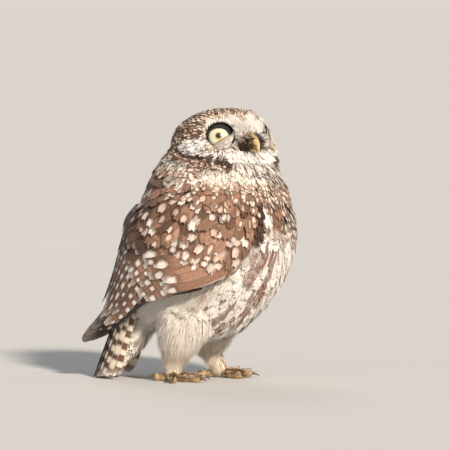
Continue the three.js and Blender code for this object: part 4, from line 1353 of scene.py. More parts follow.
def looks_of(mixed: Array, length: Array, half: Array, draw: Draw, at: Spots) -> dict[str, Array]:
    """Each feather's colours and marks as its mesh carries them.

    Args:
        mixed: The coat's numbers for each feather.
        length, half: Each feather's length and half width.
        draw: The random draw.
        at: The measures where each feather shows.

    Returns:
        Rows of four values under each name.
    """
    count = len(mixed)
    cloud = np.array([noise.noise(Vector(p * 0.13)) for p in at.points])
    side = np.sign(at.points[:, 0])
    lines = np.column_stack([at.angle * 0.2, at.station * 0.65, side * 7])
    lines = np.array([noise.noise(Vector(v)) for v in lines])
    rank = lines.argsort().argsort() / count
    light = np.clip(1 + mixed[:, VARY] * (1.4 * cloud + draw.normal(0, 0.7, count)), 0.45, 1.5)
    chance = draw.random(count)
    in_lines = (mixed[:, STREAK.start] > 0.9) & (at.head < 0.5)
    marked = np.where(in_lines, rank * 0.85 + chance * 0.15, chance) < mixed[:, CHANCE]
    grown = draw.uniform(0.6, 1.45, (count, 1)) * draw.uniform(0.85, 1.15, (count, 4))
    spot = mixed[:, SPOT] * grown
    spot[:, 1] = mixed[:, SPOT.start + 1] * draw.uniform(0.93, 1.07, count) * length
    spot[:, 0] *= np.where((draw.random(count) < 0.5) & (mixed[:, BOTH] < 0.5), -1, 1)
    spot[:, 3] *= marked
    streak = mixed[:, STREAK] * draw.uniform(0.85, 1.15, (count, 3))
    streaked = streak[:, 0] > 0.2
    ends = np.where(streaked, streak[:, 2], 1.2)
    seed = draw.random(count)
    dull = draw.random(count) ** 1.3 * np.clip(mixed[:, VARY] * 4, 0, 1) * 0.8
    mark = faded(mixed[:, MARK], np.clip(mixed[:, GROUND] * 2.0, 0, 0.9), dull)
    tawny = 1 + np.outer(np.clip(draw.normal(0, 0.5, count), -1, 1) * mixed[:, VARY], (0.25, 0, -0.25))
    ground = mixed[:, GROUND] * light[:, None] * tawny
    return {
        "ground": beside(count, np.clip(ground, 0, 0.9), mixed[:, FRINGE]),
        "mark": beside(count, mark * np.clip(light, 0.85, 1.1)[:, None], seed),
        "blade": beside(count, half, length, 0, mixed[:, BOTH] > 0.5),
        "spot": beside(count, spot[:, :2], np.maximum(spot[:, 2], 0.05), spot[:, 3]),
        "streak": beside(count, streak[:, :2], ends, marked & streaked),
    }


@dataclass
class Skin:
    """The owl's skin: one closed form over body, neck, head and legs that lies inside the solids.

    Fields are the size of its grid and how far its parts overlap in millimetres, the nodes that it stands
    for, and the rump's core: distance along the tail's line, half width, half height and depth under it.
    """

    voxel: float = 1.15
    overlap: float = 0.5
    flesh: tuple[str, ...] = (
        "torso", "neck", "head", "thigh_left", "thigh_right", "shank_left", "shank_right")
    rump: tuple[tuple[float, ...], ...] = (
        (4, 12, 14, 12), (12, 12, 13, 13.5), (23, 11, 10.8, 16.3), (37, 10, 8.6, 15.2), (49, 7.5, 4.6, 13.8),
        (56, 3, 1.6, 12.5))

    def copies(self) -> list[Piece]:
        """Merged copies of the flesh nodes, grown a little so that they run into each other."""
        made = []
        for name in self.flesh:
            copy = frame["nodes"][name].copy()
            copy.data = copy.data.copy()
            copy.parent = None
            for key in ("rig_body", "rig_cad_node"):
                del copy[key]
            bpy.context.scene.collection.objects.link(copy)
            select_only(copy)
            edit_all(bpy.ops.mesh.remove_doubles, threshold=0.00001)
            move_to(copy, coordinates(copy) + normals(copy) * self.overlap)
            made.append(copy)
        return made

    def wing_core(self, side: int) -> Piece:
        """The muscle and bone of a folded wing, from the body's side out to the feathers' roots."""
        def shape(turn: Array, share: Array) -> Array:
            """A place on the core, its section set between body and wing surface."""
            station = ramp(WING_CORE, share)
            end = np.sqrt(np.clip(np.sin(share * math.pi), 0, 1))
            across = 0.5 + 0.47 * np.cos(turn) * end
            lift = between(WING_CORE_LIFT, station)[..., 0]
            roof = wing_point(side, station, across, lift)
            floor = around_spine(torso_sizes, station, ramp(wing_edges(station), across), side, -3)
            return floor + (roof - floor) * (0.5 + 0.5 * np.sin(turn) * end)[:, None]

        return shaped_ball("wing_core", 32, 24, shape)

    def tail_core(self) -> Piece:
        """The rump's end under the tail coverts."""
        rows = np.array(self.rump, float)
        centres = TAIL.root + rows[:, :1] * TAIL.way - rows[:, 3:] * TAIL.dorsal
        shape = limb_shape(centres, rows[:, 1], rows[:, 2], np.array([1.0, 0, 0]))
        return shaped_ball("tail_core", 28, 20, shape)

    def build(self, material: Material) -> Piece:
        """Runs the forms together and draws them in by the depth of the coat.

        Args:
            material: The skin's finish.

        Returns:
            The skin.
        """
        forms = [*self.copies(), *(self.wing_core(side) for side in SIDES.values()), self.tail_core()]
        select_only(*forms)
        bpy.ops.object.join()
        skin = forms[0]
        skin.name = skin.data.name = "skin"
        remesh = skin.modifiers.new("one surface", "REMESH")
        remesh.mode, remesh.voxel_size = "VOXEL", self.voxel * MM
        self.soften(skin, 5)
        bpy.ops.object.shade_smooth()
        points = coordinates(skin)
        depth = coat_depth(Spots(points)) + self.overlap
        move_to(skin, points - normals(skin) * depth[:, None])
        self.soften(skin, 3)
        self.dress(skin, material)
        return skin

    def soften(self, skin: Piece, times: int) -> None:
        """The skin's surface is evened out."""
        smooth = skin.modifiers.new("soften", "SMOOTH")
        smooth.factor, smooth.iterations = 0.5, times
        apply_modifiers(skin)

    def dress(self, skin: Piece, material: Material) -> None:
        """Gives the skin its map, the coat's own colours and its finish."""
        mesh = skin.data
        points = coordinates(skin)
        at = Spots(points)
        mixed, _ = coat_at(at)
        share = np.clip(mixed[:, CHANCE] * 0.35, 0, 1)
        colour = faded(mixed[:, GROUND], mixed[:, MARK], share)
        for old in list(mesh.attributes):
            if old.domain == "POINT" and old.name not in ("position", ".select_vert"):
                mesh.attributes.remove(old)
        store(mesh, "ground", beside(len(points), colour * 0.8, 1))
        corners = read(mesh.loops, "vertex_index", 1, int)
        sizes = read(mesh.polygons, "loop_total", 1, int)
        first = np.concatenate([[0], np.cumsum(sizes)[:-1]])
        region = np.repeat(region_of(at)[corners[first]], sizes)
        while mesh.uv_layers:
            mesh.uv_layers.remove(mesh.uv_layers[0])
        lay_map(mesh, "OFBake", chart(points[corners], region))
        finish(skin, material, "plumage", *self.flesh)


@dataclass
class Scatter:
    """Small feathers grown all over the skin where no tier of wing or tail feathers lies.

    Fields are the skin, the seed of the draw, the steps along a feather, how much feathers differ in heading
    and in roll, the bare rim round an eyeball, and the height up to which the tail's end is bare.
    """

    skin: Piece
    seed: int = 7
    rows: int = 5
    swing: float = 0.13
    roll: float = 0.12
    round_eye: float = 1.9
    tail_bare: float = 13

    def __post_init__(self) -> None:
        """Reads the skin's faces."""
        mesh = self.skin.data
        mesh.calc_loop_triangles()
        self.points, self.normals = coordinates(self.skin), normals(self.skin)
        self.triangles = read(mesh.loop_triangles, "vertices", 3, int)
        self.tree = BVHTree.FromPolygons(self.points.tolist(), self.triangles.tolist())
        self.draw = np.random.default_rng(self.seed)

    def roots(self) -> tuple[Array, Array]:
        """Evenly spread roots, as close as each tract wants them.

        Returns:
            Their places and the skin's outward way at each.
        """
        corners = self.points[self.triangles]
        middle = corners.mean(axis=1)
        first, second = corners[:, 1] - corners[:, 0], corners[:, 2] - corners[:, 0]
        area = np.linalg.norm(np.cross(first, second), axis=1) / 2
        at = Spots(middle)
        mixed, _ = coat_at(at)
        wanted = area / (0.75 * mixed[:, SPACING] ** 2) * 3.2 * self.bare(at)
        number = self.draw.poisson(wanted)
        pick = np.repeat(np.arange(len(number)), number)
        self.draw.shuffle(pick)
        a, b = self.draw.random((2, len(pick)))
        turned = a + b > 1
        a, b = np.where(turned, 1 - a, a), np.where(turned, 1 - b, b)
        weights = np.stack([1 - a - b, a, b], axis=-1)[..., None]
        places = (corners[pick] * weights).sum(axis=1)
        out = unit((self.normals[self.triangles[pick]] * weights).sum(axis=1))
        keep = thinned(places, mixed[pick, SPACING] * 0.86)
        return places[keep], out[keep]

    def bare(self, at: Spots) -> Array:
        """0 where wing tiers, the tail's end or the eyes leave no room for small feathers, else 1."""
        share = at.wing_share
        low = 0.09 + 0.14 * soft(at.station, 3.2, 2.6)
        under = (share > low) & (share < 0.97) & (at.station < 2.4) & (at.station > 1.7) & (at.leg > 15)
        q = to_head(at.points)
        in_socket = at.to_eye < EYE_RADIUS + self.round_eye
        in_bill = (np.hypot(q[:, 0] / 5.2, (q[:, 2] + 4.6) / 7.6) < 1) & (q[:, 1] < -18)
        tail_end = (at.tail > 0.5) & (at.points[:, 2] < self.tail_bare)
        return np.where(under | tail_end | in_socket | in_bill, 0.0, 1.0)

    def paths(self, roots: Array, out: Array, mixed: Array) -> tuple[Array, Array, Array]:
        """Each feather's shaft, walked over the skin along the lie of the coat.

        Args:
            roots, out: Where the feathers grow, and the skin's outward way there.
            mixed: The coat's numbers there.

        Returns:
            Points along each shaft, and the way to its left and outwards at each.
        """
        count = len(roots)
        step = (mixed[:, LENGTH] / self.rows)[:, None]
        swing = self.draw.normal(0, self.swing, count)[:, None]
        points, ways, outs = [roots], [], [out]
        for _ in range(self.rows):
            way = lie_of_coat(points[-1], outs[-1])
            way = unit(way + np.cross(outs[-1], way) * swing)
            ways.append(way)
            ahead = points[-1] + way * step
            snapped, facing = ahead.copy(), outs[-1].copy()
            for i, spot in enumerate(ahead.tolist()):
                hit, normal, _, away = self.tree.find_nearest(spot, 6.0)
                if hit is not None and np.dot(normal, facing[i]) > -0.2:
                    snapped[i], facing[i] = hit, normal
            points.append(snapped)
            outs.append(unit(outs[-1] * 0.45 + facing * 0.55))
        ways.append(ways[-1])
        path, way, away = (np.stack(v, axis=1) for v in (points, ways, outs))
        share = np.linspace(0, 1, self.rows + 1)
        tip = mixed[:, RISE] * self.draw.uniform(0.85, 1.25, count)
        height = -0.35 + (tip[:, None] + 0.35) * share**0.85
        path = path + away * height[..., None]
        way = way_along(path)
        away = unit(laid(away, way))
        aside = np.cross(way, away)
        roll = self.draw.normal(0, self.roll, count)[:, None, None]
        return path, unit(aside + away * roll), unit(away - aside * roll)

    def grow(self) -> tuple[Feathers, Array]:
        """All the small feathers, and the tract of each."""
        roots, out = self.roots()
        at = Spots(roots)
        mixed, _ = coat_at(at)
        size = self.draw.uniform(0.86, 1.16, len(roots))
        mixed[:, LENGTH] *= size
        half = mixed[:, HALF] * size * self.draw.uniform(0.92, 1.08, len(roots))
        path, aside, away = self.paths(roots, out, mixed)
        shows = Spots(path[:, -2])
        seen, ruling = coat_at(shows)
        looks = looks_of(seen, mixed[:, LENGTH], half, self.draw, shows)
        on_map = chart(roots, region_of(at))
        return Feathers(path, aside, away, mixed[:, LENGTH], half, on_map, looks), ruling


def thinned(places: Array, apart: Array) -> Array:
    """Which places to keep so that no two lie closer than they should.

    Args:
        places: Candidates in the order in which they are taken.
        apart: The least distance round each.

    Returns:
        Their indices.
    """
    tree = KDTree(len(places))
    for i, spot in enumerate(places.tolist()):
        tree.insert(spot, i)
    tree.balance()
    free = np.ones(len(places), bool)
    kept = []
    for i, spot in enumerate(places.tolist()):
        if free[i]:
            kept.append(i)
            for _, j, _ in tree.find_range(spot, float(apart[i])):
                free[j] = False
    return np.array(kept)


def bristles(roots: Array, out: Array, way: Array, length: float, rise: float, half: float, ground: Array,
             draw: Draw, region: int) -> Feathers:
    """Fine bristles set where a tract alone would not stand out enough.

    Args:
        roots, out: Where they grow, and the outward way there.
        way: The way they point, which is laid along the surface.
        length, rise, half: Their mean length, the height of their tips and how far a spray spreads aside.
        ground: Their colours.
        draw: The random draw.
        region: The map's region that they lie in.

    Returns:
        The bristles, ready to be cut as sprays.
    """
    count = len(roots)
    way = unit(laid(way, out) + draw.normal(0, 0.12, (count, 3)))
    long = length * draw.uniform(0.75, 1.2, count)
    high = rise * draw.uniform(0.6, 1.25, count)
    share = np.linspace(0, 1, 6)
    path = (roots[:, None] - out[:, None] * 0.4 + way[:, None] * (long[:, None] * share)[..., None]
            + out[:, None] * (high[:, None] * share**1.2)[..., None])
    ahead = way_along(path)
    facing = unit(laid(out[:, None], ahead))
    toned = np.clip(ground * np.clip(draw.normal(1, 0.1, count), 0.6, 1.3)[:, None], 0, 0.9)
    spread = np.full(count, half, float)
    looks = {
        "ground": beside(count, toned, 0),
        "mark": beside(count, toned, draw.random(count)),
        "blade": beside(count, spread, long, 0, 0),
        "spot": beside(count, 0, 0, 0.05, 0),
        "streak": beside(count, 0, 0, 1.2, 0),
    }
    on_map = chart(roots, np.full(count, int(region)))
    return Feathers(path, np.cross(ahead, facing), facing, long, spread, on_map, looks)


@dataclass
class FaceBristles:
    """The face's bristles: pale fans between the eyes, dark lores, the chin and the lower lids.

    Fields are the seed of the draw, and how many bristles each part has.
    """

    seed: int = 90
    brow_hairs: int = 420
    far_brow_hairs: int = 260
    lore_hairs: int = 2300
    chin_hairs: int = 800

    def on_head(self, turn: Array, lift: Array) -> tuple[Array, Array, Array]:
        """Roots on the head, the outward way there, and the same places in the head's ways."""
        roots = head_point(turn, lift, -0.7)
        return roots, unit(head_point(turn, lift, 1) - roots), to_head(roots)

    def build(self, eyes: list["Eye"], material: Material) -> None:
        """Makes all the bristles in one piece."""
        draw = np.random.default_rng(self.seed)
        coat = Coat(self.seed + 1)
        coat.sprays(self.brow(draw), blades=6, width=0.3, puff=0.1)
        coat.sprays(self.far_brow(draw), blades=6, width=0.3, puff=0.1)
        coat.sprays(self.lores(draw), blades=6, width=0.26, puff=0.08)
        coat.sprays(self.chin(draw), blades=6, width=0.32, puff=0.14)
        for eye in eyes:
            coat.sprays(eye.lid_down(draw), blades=5, width=0.24, puff=0.05)
        coat.piece("face_bristles", material)

    def white_fan(self, turn: Array, lift: Array, middle: Pair, shape: tuple[float, float, float],
                  draw: Draw, colour: Colour = (238, 232, 224)) -> Feathers:
        """White bristles that spread away from a middle.

        Args:
            turn, lift: Each root's degrees from the bill and above the level.
            middle: The middle in the head's ways, forward and up.
            shape: Their length, the rise of their tips and their half width.
            draw: The random draw.
            colour: Their white.

        Returns:
            The bristles.
        """
        roots, out, q = self.on_head(turn, lift)
        way = unit(q - local(middle[0], 0, middle[1])) @ HEAD_WAYS.T
        ground = np.tile(linear(*colour), (len(turn), 1))
        return bristles(roots, out, way, *shape, ground, draw, Region.HEAD)

    def brow(self, draw: Draw) -> Feathers:
        """White fans that rise from over the bill between the eyes and up to the forehead."""
        turn = draw.uniform(-16, 16, self.brow_hairs)
        lift = 3 + draw.random(self.brow_hairs) * (9 + 8 * soft(np.abs(turn), 6, 11))
        return self.white_fan(turn, lift, (27, -6), (5.0, 3.0, 0.9), draw, (240, 234, 226))

    def far_brow(self, draw: Draw) -> Feathers:
        """The longer white bristles before the left eye, which hide most of it from the right."""
        count = self.far_brow_hairs
        turn, lift = draw.uniform(15, 27, count), draw.uniform(-12, 16, count)
        return self.white_fan(turn, lift, (26, -4), (4.6, 4.2, 0.9), draw)

    def lores(self, draw: Draw) -> Feathers:
        """Bristles that sweep forward and down over the sides of the bill, pale above and dark below."""
        count = self.lore_hairs
        aside = draw.uniform(2.2, 4.7, count) ** 2
        turn = aside * np.where(draw.random(count) < 0.5, -1, 1)
        lift = draw.uniform(-20, 9, count)
        roots, out, _ = self.on_head(turn, lift)
        way = local(0.9, np.sign(turn) * (0.16 - aside * 0.012), -0.3 - 0.022 * lift)
        dark = soft(lift + draw.normal(0, 2.5, count), 4, -2)[:, None]
        tawny = (draw.random(count) < 0.25)[:, None]
        deep = np.where(tawny, linear(156, 118, 72), linear(56, 42, 34))
        ground = linear(214, 206, 196) * (1 - dark) + deep * dark
        return bristles(roots, out, unit(way) @ HEAD_WAYS.T, 8.5, 2.9, 0.7, ground, draw, Region.HEAD)

    def chin(self, draw: Draw) -> Feathers:
        """The white puff under the bill, which stands out to the throat."""
        count = self.chin_hairs
        turn, lift = draw.uniform(-48, 48, count), draw.uniform(-36, -17, count)
        return self.white_fan(turn, lift, (22, 8), (6, 3.6, 1.0), draw)


@dataclass(frozen=True)
class Marking:
    """The marks of a tier of wing or tail feathers.

    Fields are the ground and mark colours, the mark's place aside as a share of the half width and along as
    a share of the length, its half width and height, the distance between repeats or 0, whether both webs
    have it, the shares of the length between which it shows, the share of feathers that have it, the pale
    fringe, and how much the tone varies.
    """

    ground: Colour = UMBER
    mark: Colour = WHITE
    aside: float = 0.5
    at: float = 0.75
    half: float = 1.8
    high: float = 2.4
    pitch: float = 0.0
    both: bool = False
    shows: Pair = (0.0, 1.2)
    chance: float = 1.0
    fringe: float = 0.1
    vary: float = 0.16

    def looks(self, length: Array, half: Array, web: float, draw: Draw) -> dict[str, Array]:
        """The looks of each feather.

        Args:
            length, half: Each feather's length and half width.
            web: 1 or -1, the side on which a mark of one web lies.
            draw: The random draw.

        Returns:
            Rows of four values under each name.
        """
        count = len(length)
        light = np.clip(1 + draw.normal(0, self.vary, count), 0.55, 1.5)[:, None]
        grown = draw.uniform(0.7, 1.35, (count, 1)) * draw.uniform(0.85, 1.15, (count, 2))
        high = self.high * grown[:, 1] * (draw.random(count) < self.chance)
        sign = 1 if self.both else web
        return {
            "ground": beside(count, linear(*self.ground) * light, self.fringe),
            "mark": beside(count, linear(*self.mark) * np.clip(light, 0.9, 1.08), draw.random(count)),
            "blade": beside(count, half, length, self.pitch * draw.uniform(0.88, 1.12, count), self.both),
            "spot": beside(count, sign * self.aside * half * draw.uniform(0.85, 1.1, count),
                           self.at * length * draw.uniform(0.91, 1.04, count),
                           self.half * grown[:, 0], high),
            "streak": beside(count, 0, *self.shows, 0),
        }


@dataclass(frozen=True)
class Tier:
    """A tier of feathers that follows the curve of the wing.

    Fields are the count, the strip of shares that it fills, the stations of roots and of tips at the strip's
    two edges, the half width against the spacing, the heights at root and tip, the cut, the marking, the
    shares between which it darkens towards the back and by how much, partly the wing's own darker brown and
    partly painted shade, and whether it holds flight feathers.
    """

    count: int
    strip: Pair
    root: Pair
    tip: Pair
    wide: float
    lift: Pair
    cut: Cut
    marking: Marking
    darker: tuple[float, float, float] = (0.28, 0.5, 0.72)
    flight: bool = False


SECONDARY_CUT = Cut(34, (0, 0.45, 0.95), 0.8, 5.5, 0.6, 0.05, 0.05, 0.1, 0.22)
# Secondaries, greater coverts and median coverts, each with painted shade towards the back of the wing
TIERS = (
    Tier(11, (0.17, 1.0), (3.7, 3.4), (1.0, 1.25), 0.95, (-2.9, -1.5), SECONDARY_CUT,
         Marking((140, 106, 86), aside=0.72, at=0.95, half=1.5, high=1.7, pitch=7.8, shows=(0.2, 0.97),
                 fringe=0.6), (0.6, 0.95, 0.5), True),
    Tier(15, (0.09, 0.97), (4.0, 3.8), (2.35, 2.2), 1.0, (-2.9, -1.3), COVERT_CUT,
         Marking(aside=0.35, at=0.9, half=1.6, high=1.9, pitch=9, shows=(0.3, 1.2), fringe=0.7, vary=0.26)),
    Tier(15, (0.09, 0.97), (4.45, 4.3), (2.9, 2.75), 1.0, (-2.7, -0.9), COVERT_CUT,
         Marking(aside=0.35, at=0.87, half=2.1, high=3.0, fringe=0.7, vary=0.3)),
)
PRIMARY_MARKING = Marking((66, 47, 38), aside=0.6, at=0.8, half=1.3, high=1.9, pitch=9, shows=(0.2, 0.88),
                          chance=0.6, fringe=0.25, vary=0.2)


TAIL_MARKING = Marking((100, 73, 58), (252, 238, 214), aside=0.6, at=0.9, half=2.5, high=2.2, pitch=8.4,
                       both=True, shows=(0.1, 1.2), fringe=0.7, vary=0.12)


FLIGHT_PATCH, COVERT_PATCH = 0.02, 0.006


@dataclass
class Wing:
    """A folded wing: its flight feathers, and the tiers of greater and median coverts over them.

    Fields are its side's name, the points along each feather, then for the primaries their count, the half
    width, the shares and heights of their line from the root out, the gaps between them at root and tip, the
    station of their roots, the step from one down to the next, and the stations of their tips.
    """

    label: str
    rows: int = 12
    primaries: int = 10
    primary_half: float = 4.6
    primary_shares: Pair = (0.1, 0.34)
    primary_lifts: Pair = (-4.4, -3.6)
    primary_fan: Pair = (1.5, 0.55)
    primary_root: float = 4.2
    primary_step: float = 0.42
    primary_tips: tuple[float, ...] = (0.62, 0.44, 0.28, 0.18, 0.12, 0.1, 0.16, 0.32, 0.54, 0.8)

    def __post_init__(self) -> None:
        """Sets the side and the random draw."""
        self.side = SIDES[self.label]
        self.draw = np.random.default_rng(40 + self.side)

    def ways(self, station: Array, share: Array, lift: Array) -> tuple[Array, Array, Array]:
        """The ways outwards and backwards over the wing, and the length of one unit of share."""
        step = 0.03

        def spot(ahead: float, up: float) -> Array:
            """The place a little further along or up the wing."""
            return wing_point(self.side, station + ahead, share + up, lift)

        ahead = unit(spot(-step, 0) - spot(step, 0))
        across = spot(0, step) - spot(0, -step)
        span = np.linalg.norm(across, axis=-1) / (2 * step)
        out = unit(np.cross(ahead, across)) * self.side
        return out, unit(laid(across, ahead)), span

    def feathers(self, points: Array, out: Array, back: Array, slope: Array, half: Array,
                 marking: Marking, patch: float) -> Feathers:
        """Feathers from their shafts, turned so that each slides under the next one towards the back."""
        across = unit(back - out * slope)
        ahead = way_along(points)
        facing = unit(laid(unit(out + back * slope), ahead))
        aside = np.cross(ahead, facing)
        web = -np.sign(np.sum(aside * across))
        length = length_of(points)
        looks = marking.looks(length, half, web, self.draw)
        on_map = chart(points[:, 1], np.full(len(points), int(Region.BODY)))
        return Feathers(points, aside, facing, length, half, on_map, looks, patch)

    def tier(self, tier: Tier) -> Feathers:
        """One tier's feathers."""
        draw = self.draw
        u = ((np.arange(tier.count) + 0.5 + draw.uniform(-0.16, 0.16, tier.count)) / tier.count)[:, None]
        t = np.linspace(0, 1, self.rows)[None]
        stagger = draw.uniform(-0.2, 0.2, u.shape)
        root = ramp(tier.root, u) + stagger * 0.5
        tip = ramp(tier.tip, u) + stagger
        station = ramp((root, tip), t)
        share = ramp(tier.strip, u) + np.zeros_like(t)
        lift = ramp(tier.lift, soft(t, 0, 1)) + np.zeros_like(u)
        lift = lift + draw.uniform(-0.12, 0.12, u.shape) * t
        out, back, span = self.ways(station, share, lift)
        spacing = span * (tier.strip[1] - tier.strip[0]) / tier.count
        slope = np.minimum(0.55 / spacing, 0.2)[..., None]
        half = np.maximum(spacing[:, self.rows // 2], 3) * tier.wide
        points = wing_point(self.side, station, share, lift)
        patch = FLIGHT_PATCH if tier.flight else COVERT_PATCH
        made = self.feathers(points, out, back, slope, half, tier.marking, patch)
        # Painted shade: the ground darkens towards the back of the wing, over its own darker brown, and
        # fewer spots show there
        start, full, much = tier.darker
        behind = soft(u, start, full) * much
        made.looks["ground"][:, :3] *= 1.12 - behind
        if not tier.flight:
            made.looks["spot"][:, 3:] *= draw.random(u.shape) > 0.8 * behind
        return made

    def primary_bundle(self) -> Feathers:
        """The primaries in one flat bundle along the lower edge, the lowest innermost."""
        k = np.arange(self.primaries)[:, None]
        last = self.primaries - 1
        t = np.linspace(0, 1, self.rows + 4)[None]
        station = ramp((self.primary_root, np.array(self.primary_tips)[:, None]), t)
        way = soft((self.primary_root - station) / self.primary_root, 0, 1)
        share, fan = ramp(self.primary_shares, way), ramp(self.primary_fan, way)
        lift = ramp(self.primary_lifts, way) - 6 * soft(way, 0.1, 0.0)
        out, back, _ = self.ways(station, share, lift)
        slope = (0.2 - 0.1 * way)[..., None]
        across = unit(back - out * slope)
        x = ((k - last / 2) * fan)[..., None]
        sink = ((last - k) * self.primary_step)[..., None] * np.ones_like(x)
        points = wing_point(self.side, station, share, lift) + across * x - out * (sink - x * slope)
        half = np.full(self.primaries, self.primary_half)
        return self.feathers(points, out, back, slope, half, PRIMARY_MARKING, FLIGHT_PATCH)

    def build(self, material: Material) -> None:
        """Makes the wing's flights and its longer coverts."""
        flights, coverts = Coat(50), Coat(51)
        flights.vanes(self.primary_bundle(), FLIGHT_CUT)
        for tier in TIERS:
            (flights if tier.flight else coverts).vanes(self.tier(tier), tier.cut)
        made = flights.piece(f"flight_feathers_{self.label}", material)
        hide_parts(f"wing_{self.label}")
        coverts.piece(f"wing_coverts_{self.label}", material)


@dataclass(frozen=True)
class TailLine:
    """The tail's line from its root to its tip, and the arch on which its feathers lie.

    Fields are the root and the tip as forward and up, the radius of the arch, the gap between feathers, the
    pairs of them, their half width, and how much shorter each pair is than the one inside it.
    """

    root_at: Pair = (-50, 61)
    tip_at: Pair = (-73.8, -0.5)
    arch: float = 16.5
    spacing: float = 4.4
    pairs: int = 6
    half: float = 5.7
    shorter: float = 1.7

    @property
    def root(self) -> Array:
        """The root's middle."""
        return place(self.root_at[0], 0, self.root_at[1])

    @property
    def length(self) -> float:
        """From root to tip."""
        return math.dist(self.root_at, self.tip_at)

    @property
    def way(self) -> Array:
        """The way from root to tip."""
        return unit(place(self.tip_at[0], 0, self.tip_at[1]) - self.root)

    @property
    def dorsal(self) -> Array:
        """The way out of the tail's upper side."""
        way = self.way
        return np.array([0, -way[2], way[1]])


TAIL = TailLine()


@dataclass
class Tail:
    """The tail's twelve feathers."""

    rows: int = 14
    lowest: float = 0.35

    def build(self, material: Material) -> None:
        """Makes the tail feathers."""
        coat = Coat(60)
        for side in (1, -1):
            coat.vanes(self.half_fan(side), FLIGHT_CUT)
        made = coat.piece("tail_feathers", material)
        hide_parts("tail")

    def half_fan(self, side: int) -> Feathers:
        """The six feathers on one side, the middle one on top."""
        k = np.arange(TAIL.pairs)[:, None]
        share = np.linspace(0, 1, self.rows)[None]
        reach = TAIL.length - k * TAIL.shorter
        distance = 8 + (reach - 8) * share
        spread = TAIL.spacing * (0.75 + 0.25 * distance / TAIL.length)
        angle = (k + 0.5) * spread / TAIL.arch
        sideways = np.array([side, 0, 0])
        radial = np.sin(angle)[..., None] * sideways + np.cos(angle)[..., None] * TAIL.dorsal
        stack = (0.72 - spread * 0.14) * (k + (0 if side > 0 else 0.5)) + 0.1
        points = (TAIL.root + distance[..., None] * TAIL.way - TAIL.arch * TAIL.dorsal
                  + radial * (TAIL.arch - stack)[..., None])
        points[..., 2] = np.maximum(points[..., 2], self.lowest)
        across = np.cos(angle)[..., None] * sideways - np.sin(angle)[..., None] * TAIL.dorsal
        facing = unit(radial - across * 0.14)
        aside = np.cross(way_along(points), facing)
        length, half = length_of(points), np.full(TAIL.pairs, TAIL.half)
        draw = np.random.default_rng(63 + side)
        looks = TAIL_MARKING.looks(length, half, 1, draw)
        looks["spot"][:, 1] += draw.uniform(-3.5, 3.5, TAIL.pairs)
        looks["spot"][:, 2:] *= 0.5 + 0.16 * k
        # Painted shade and light: the middle pairs on top of the arch are darker, the outer pairs on the
        # tail's side lighter
        looks["ground"][:, :3] *= 0.7 + 0.26 * k
        on_map = np.column_stack([0.05 + 0.02 * k[:, 0], np.full(TAIL.pairs, 0.9 + 0.04 * side)])
        return Feathers(points, aside, facing, length, half, on_map, looks, FLIGHT_PATCH)


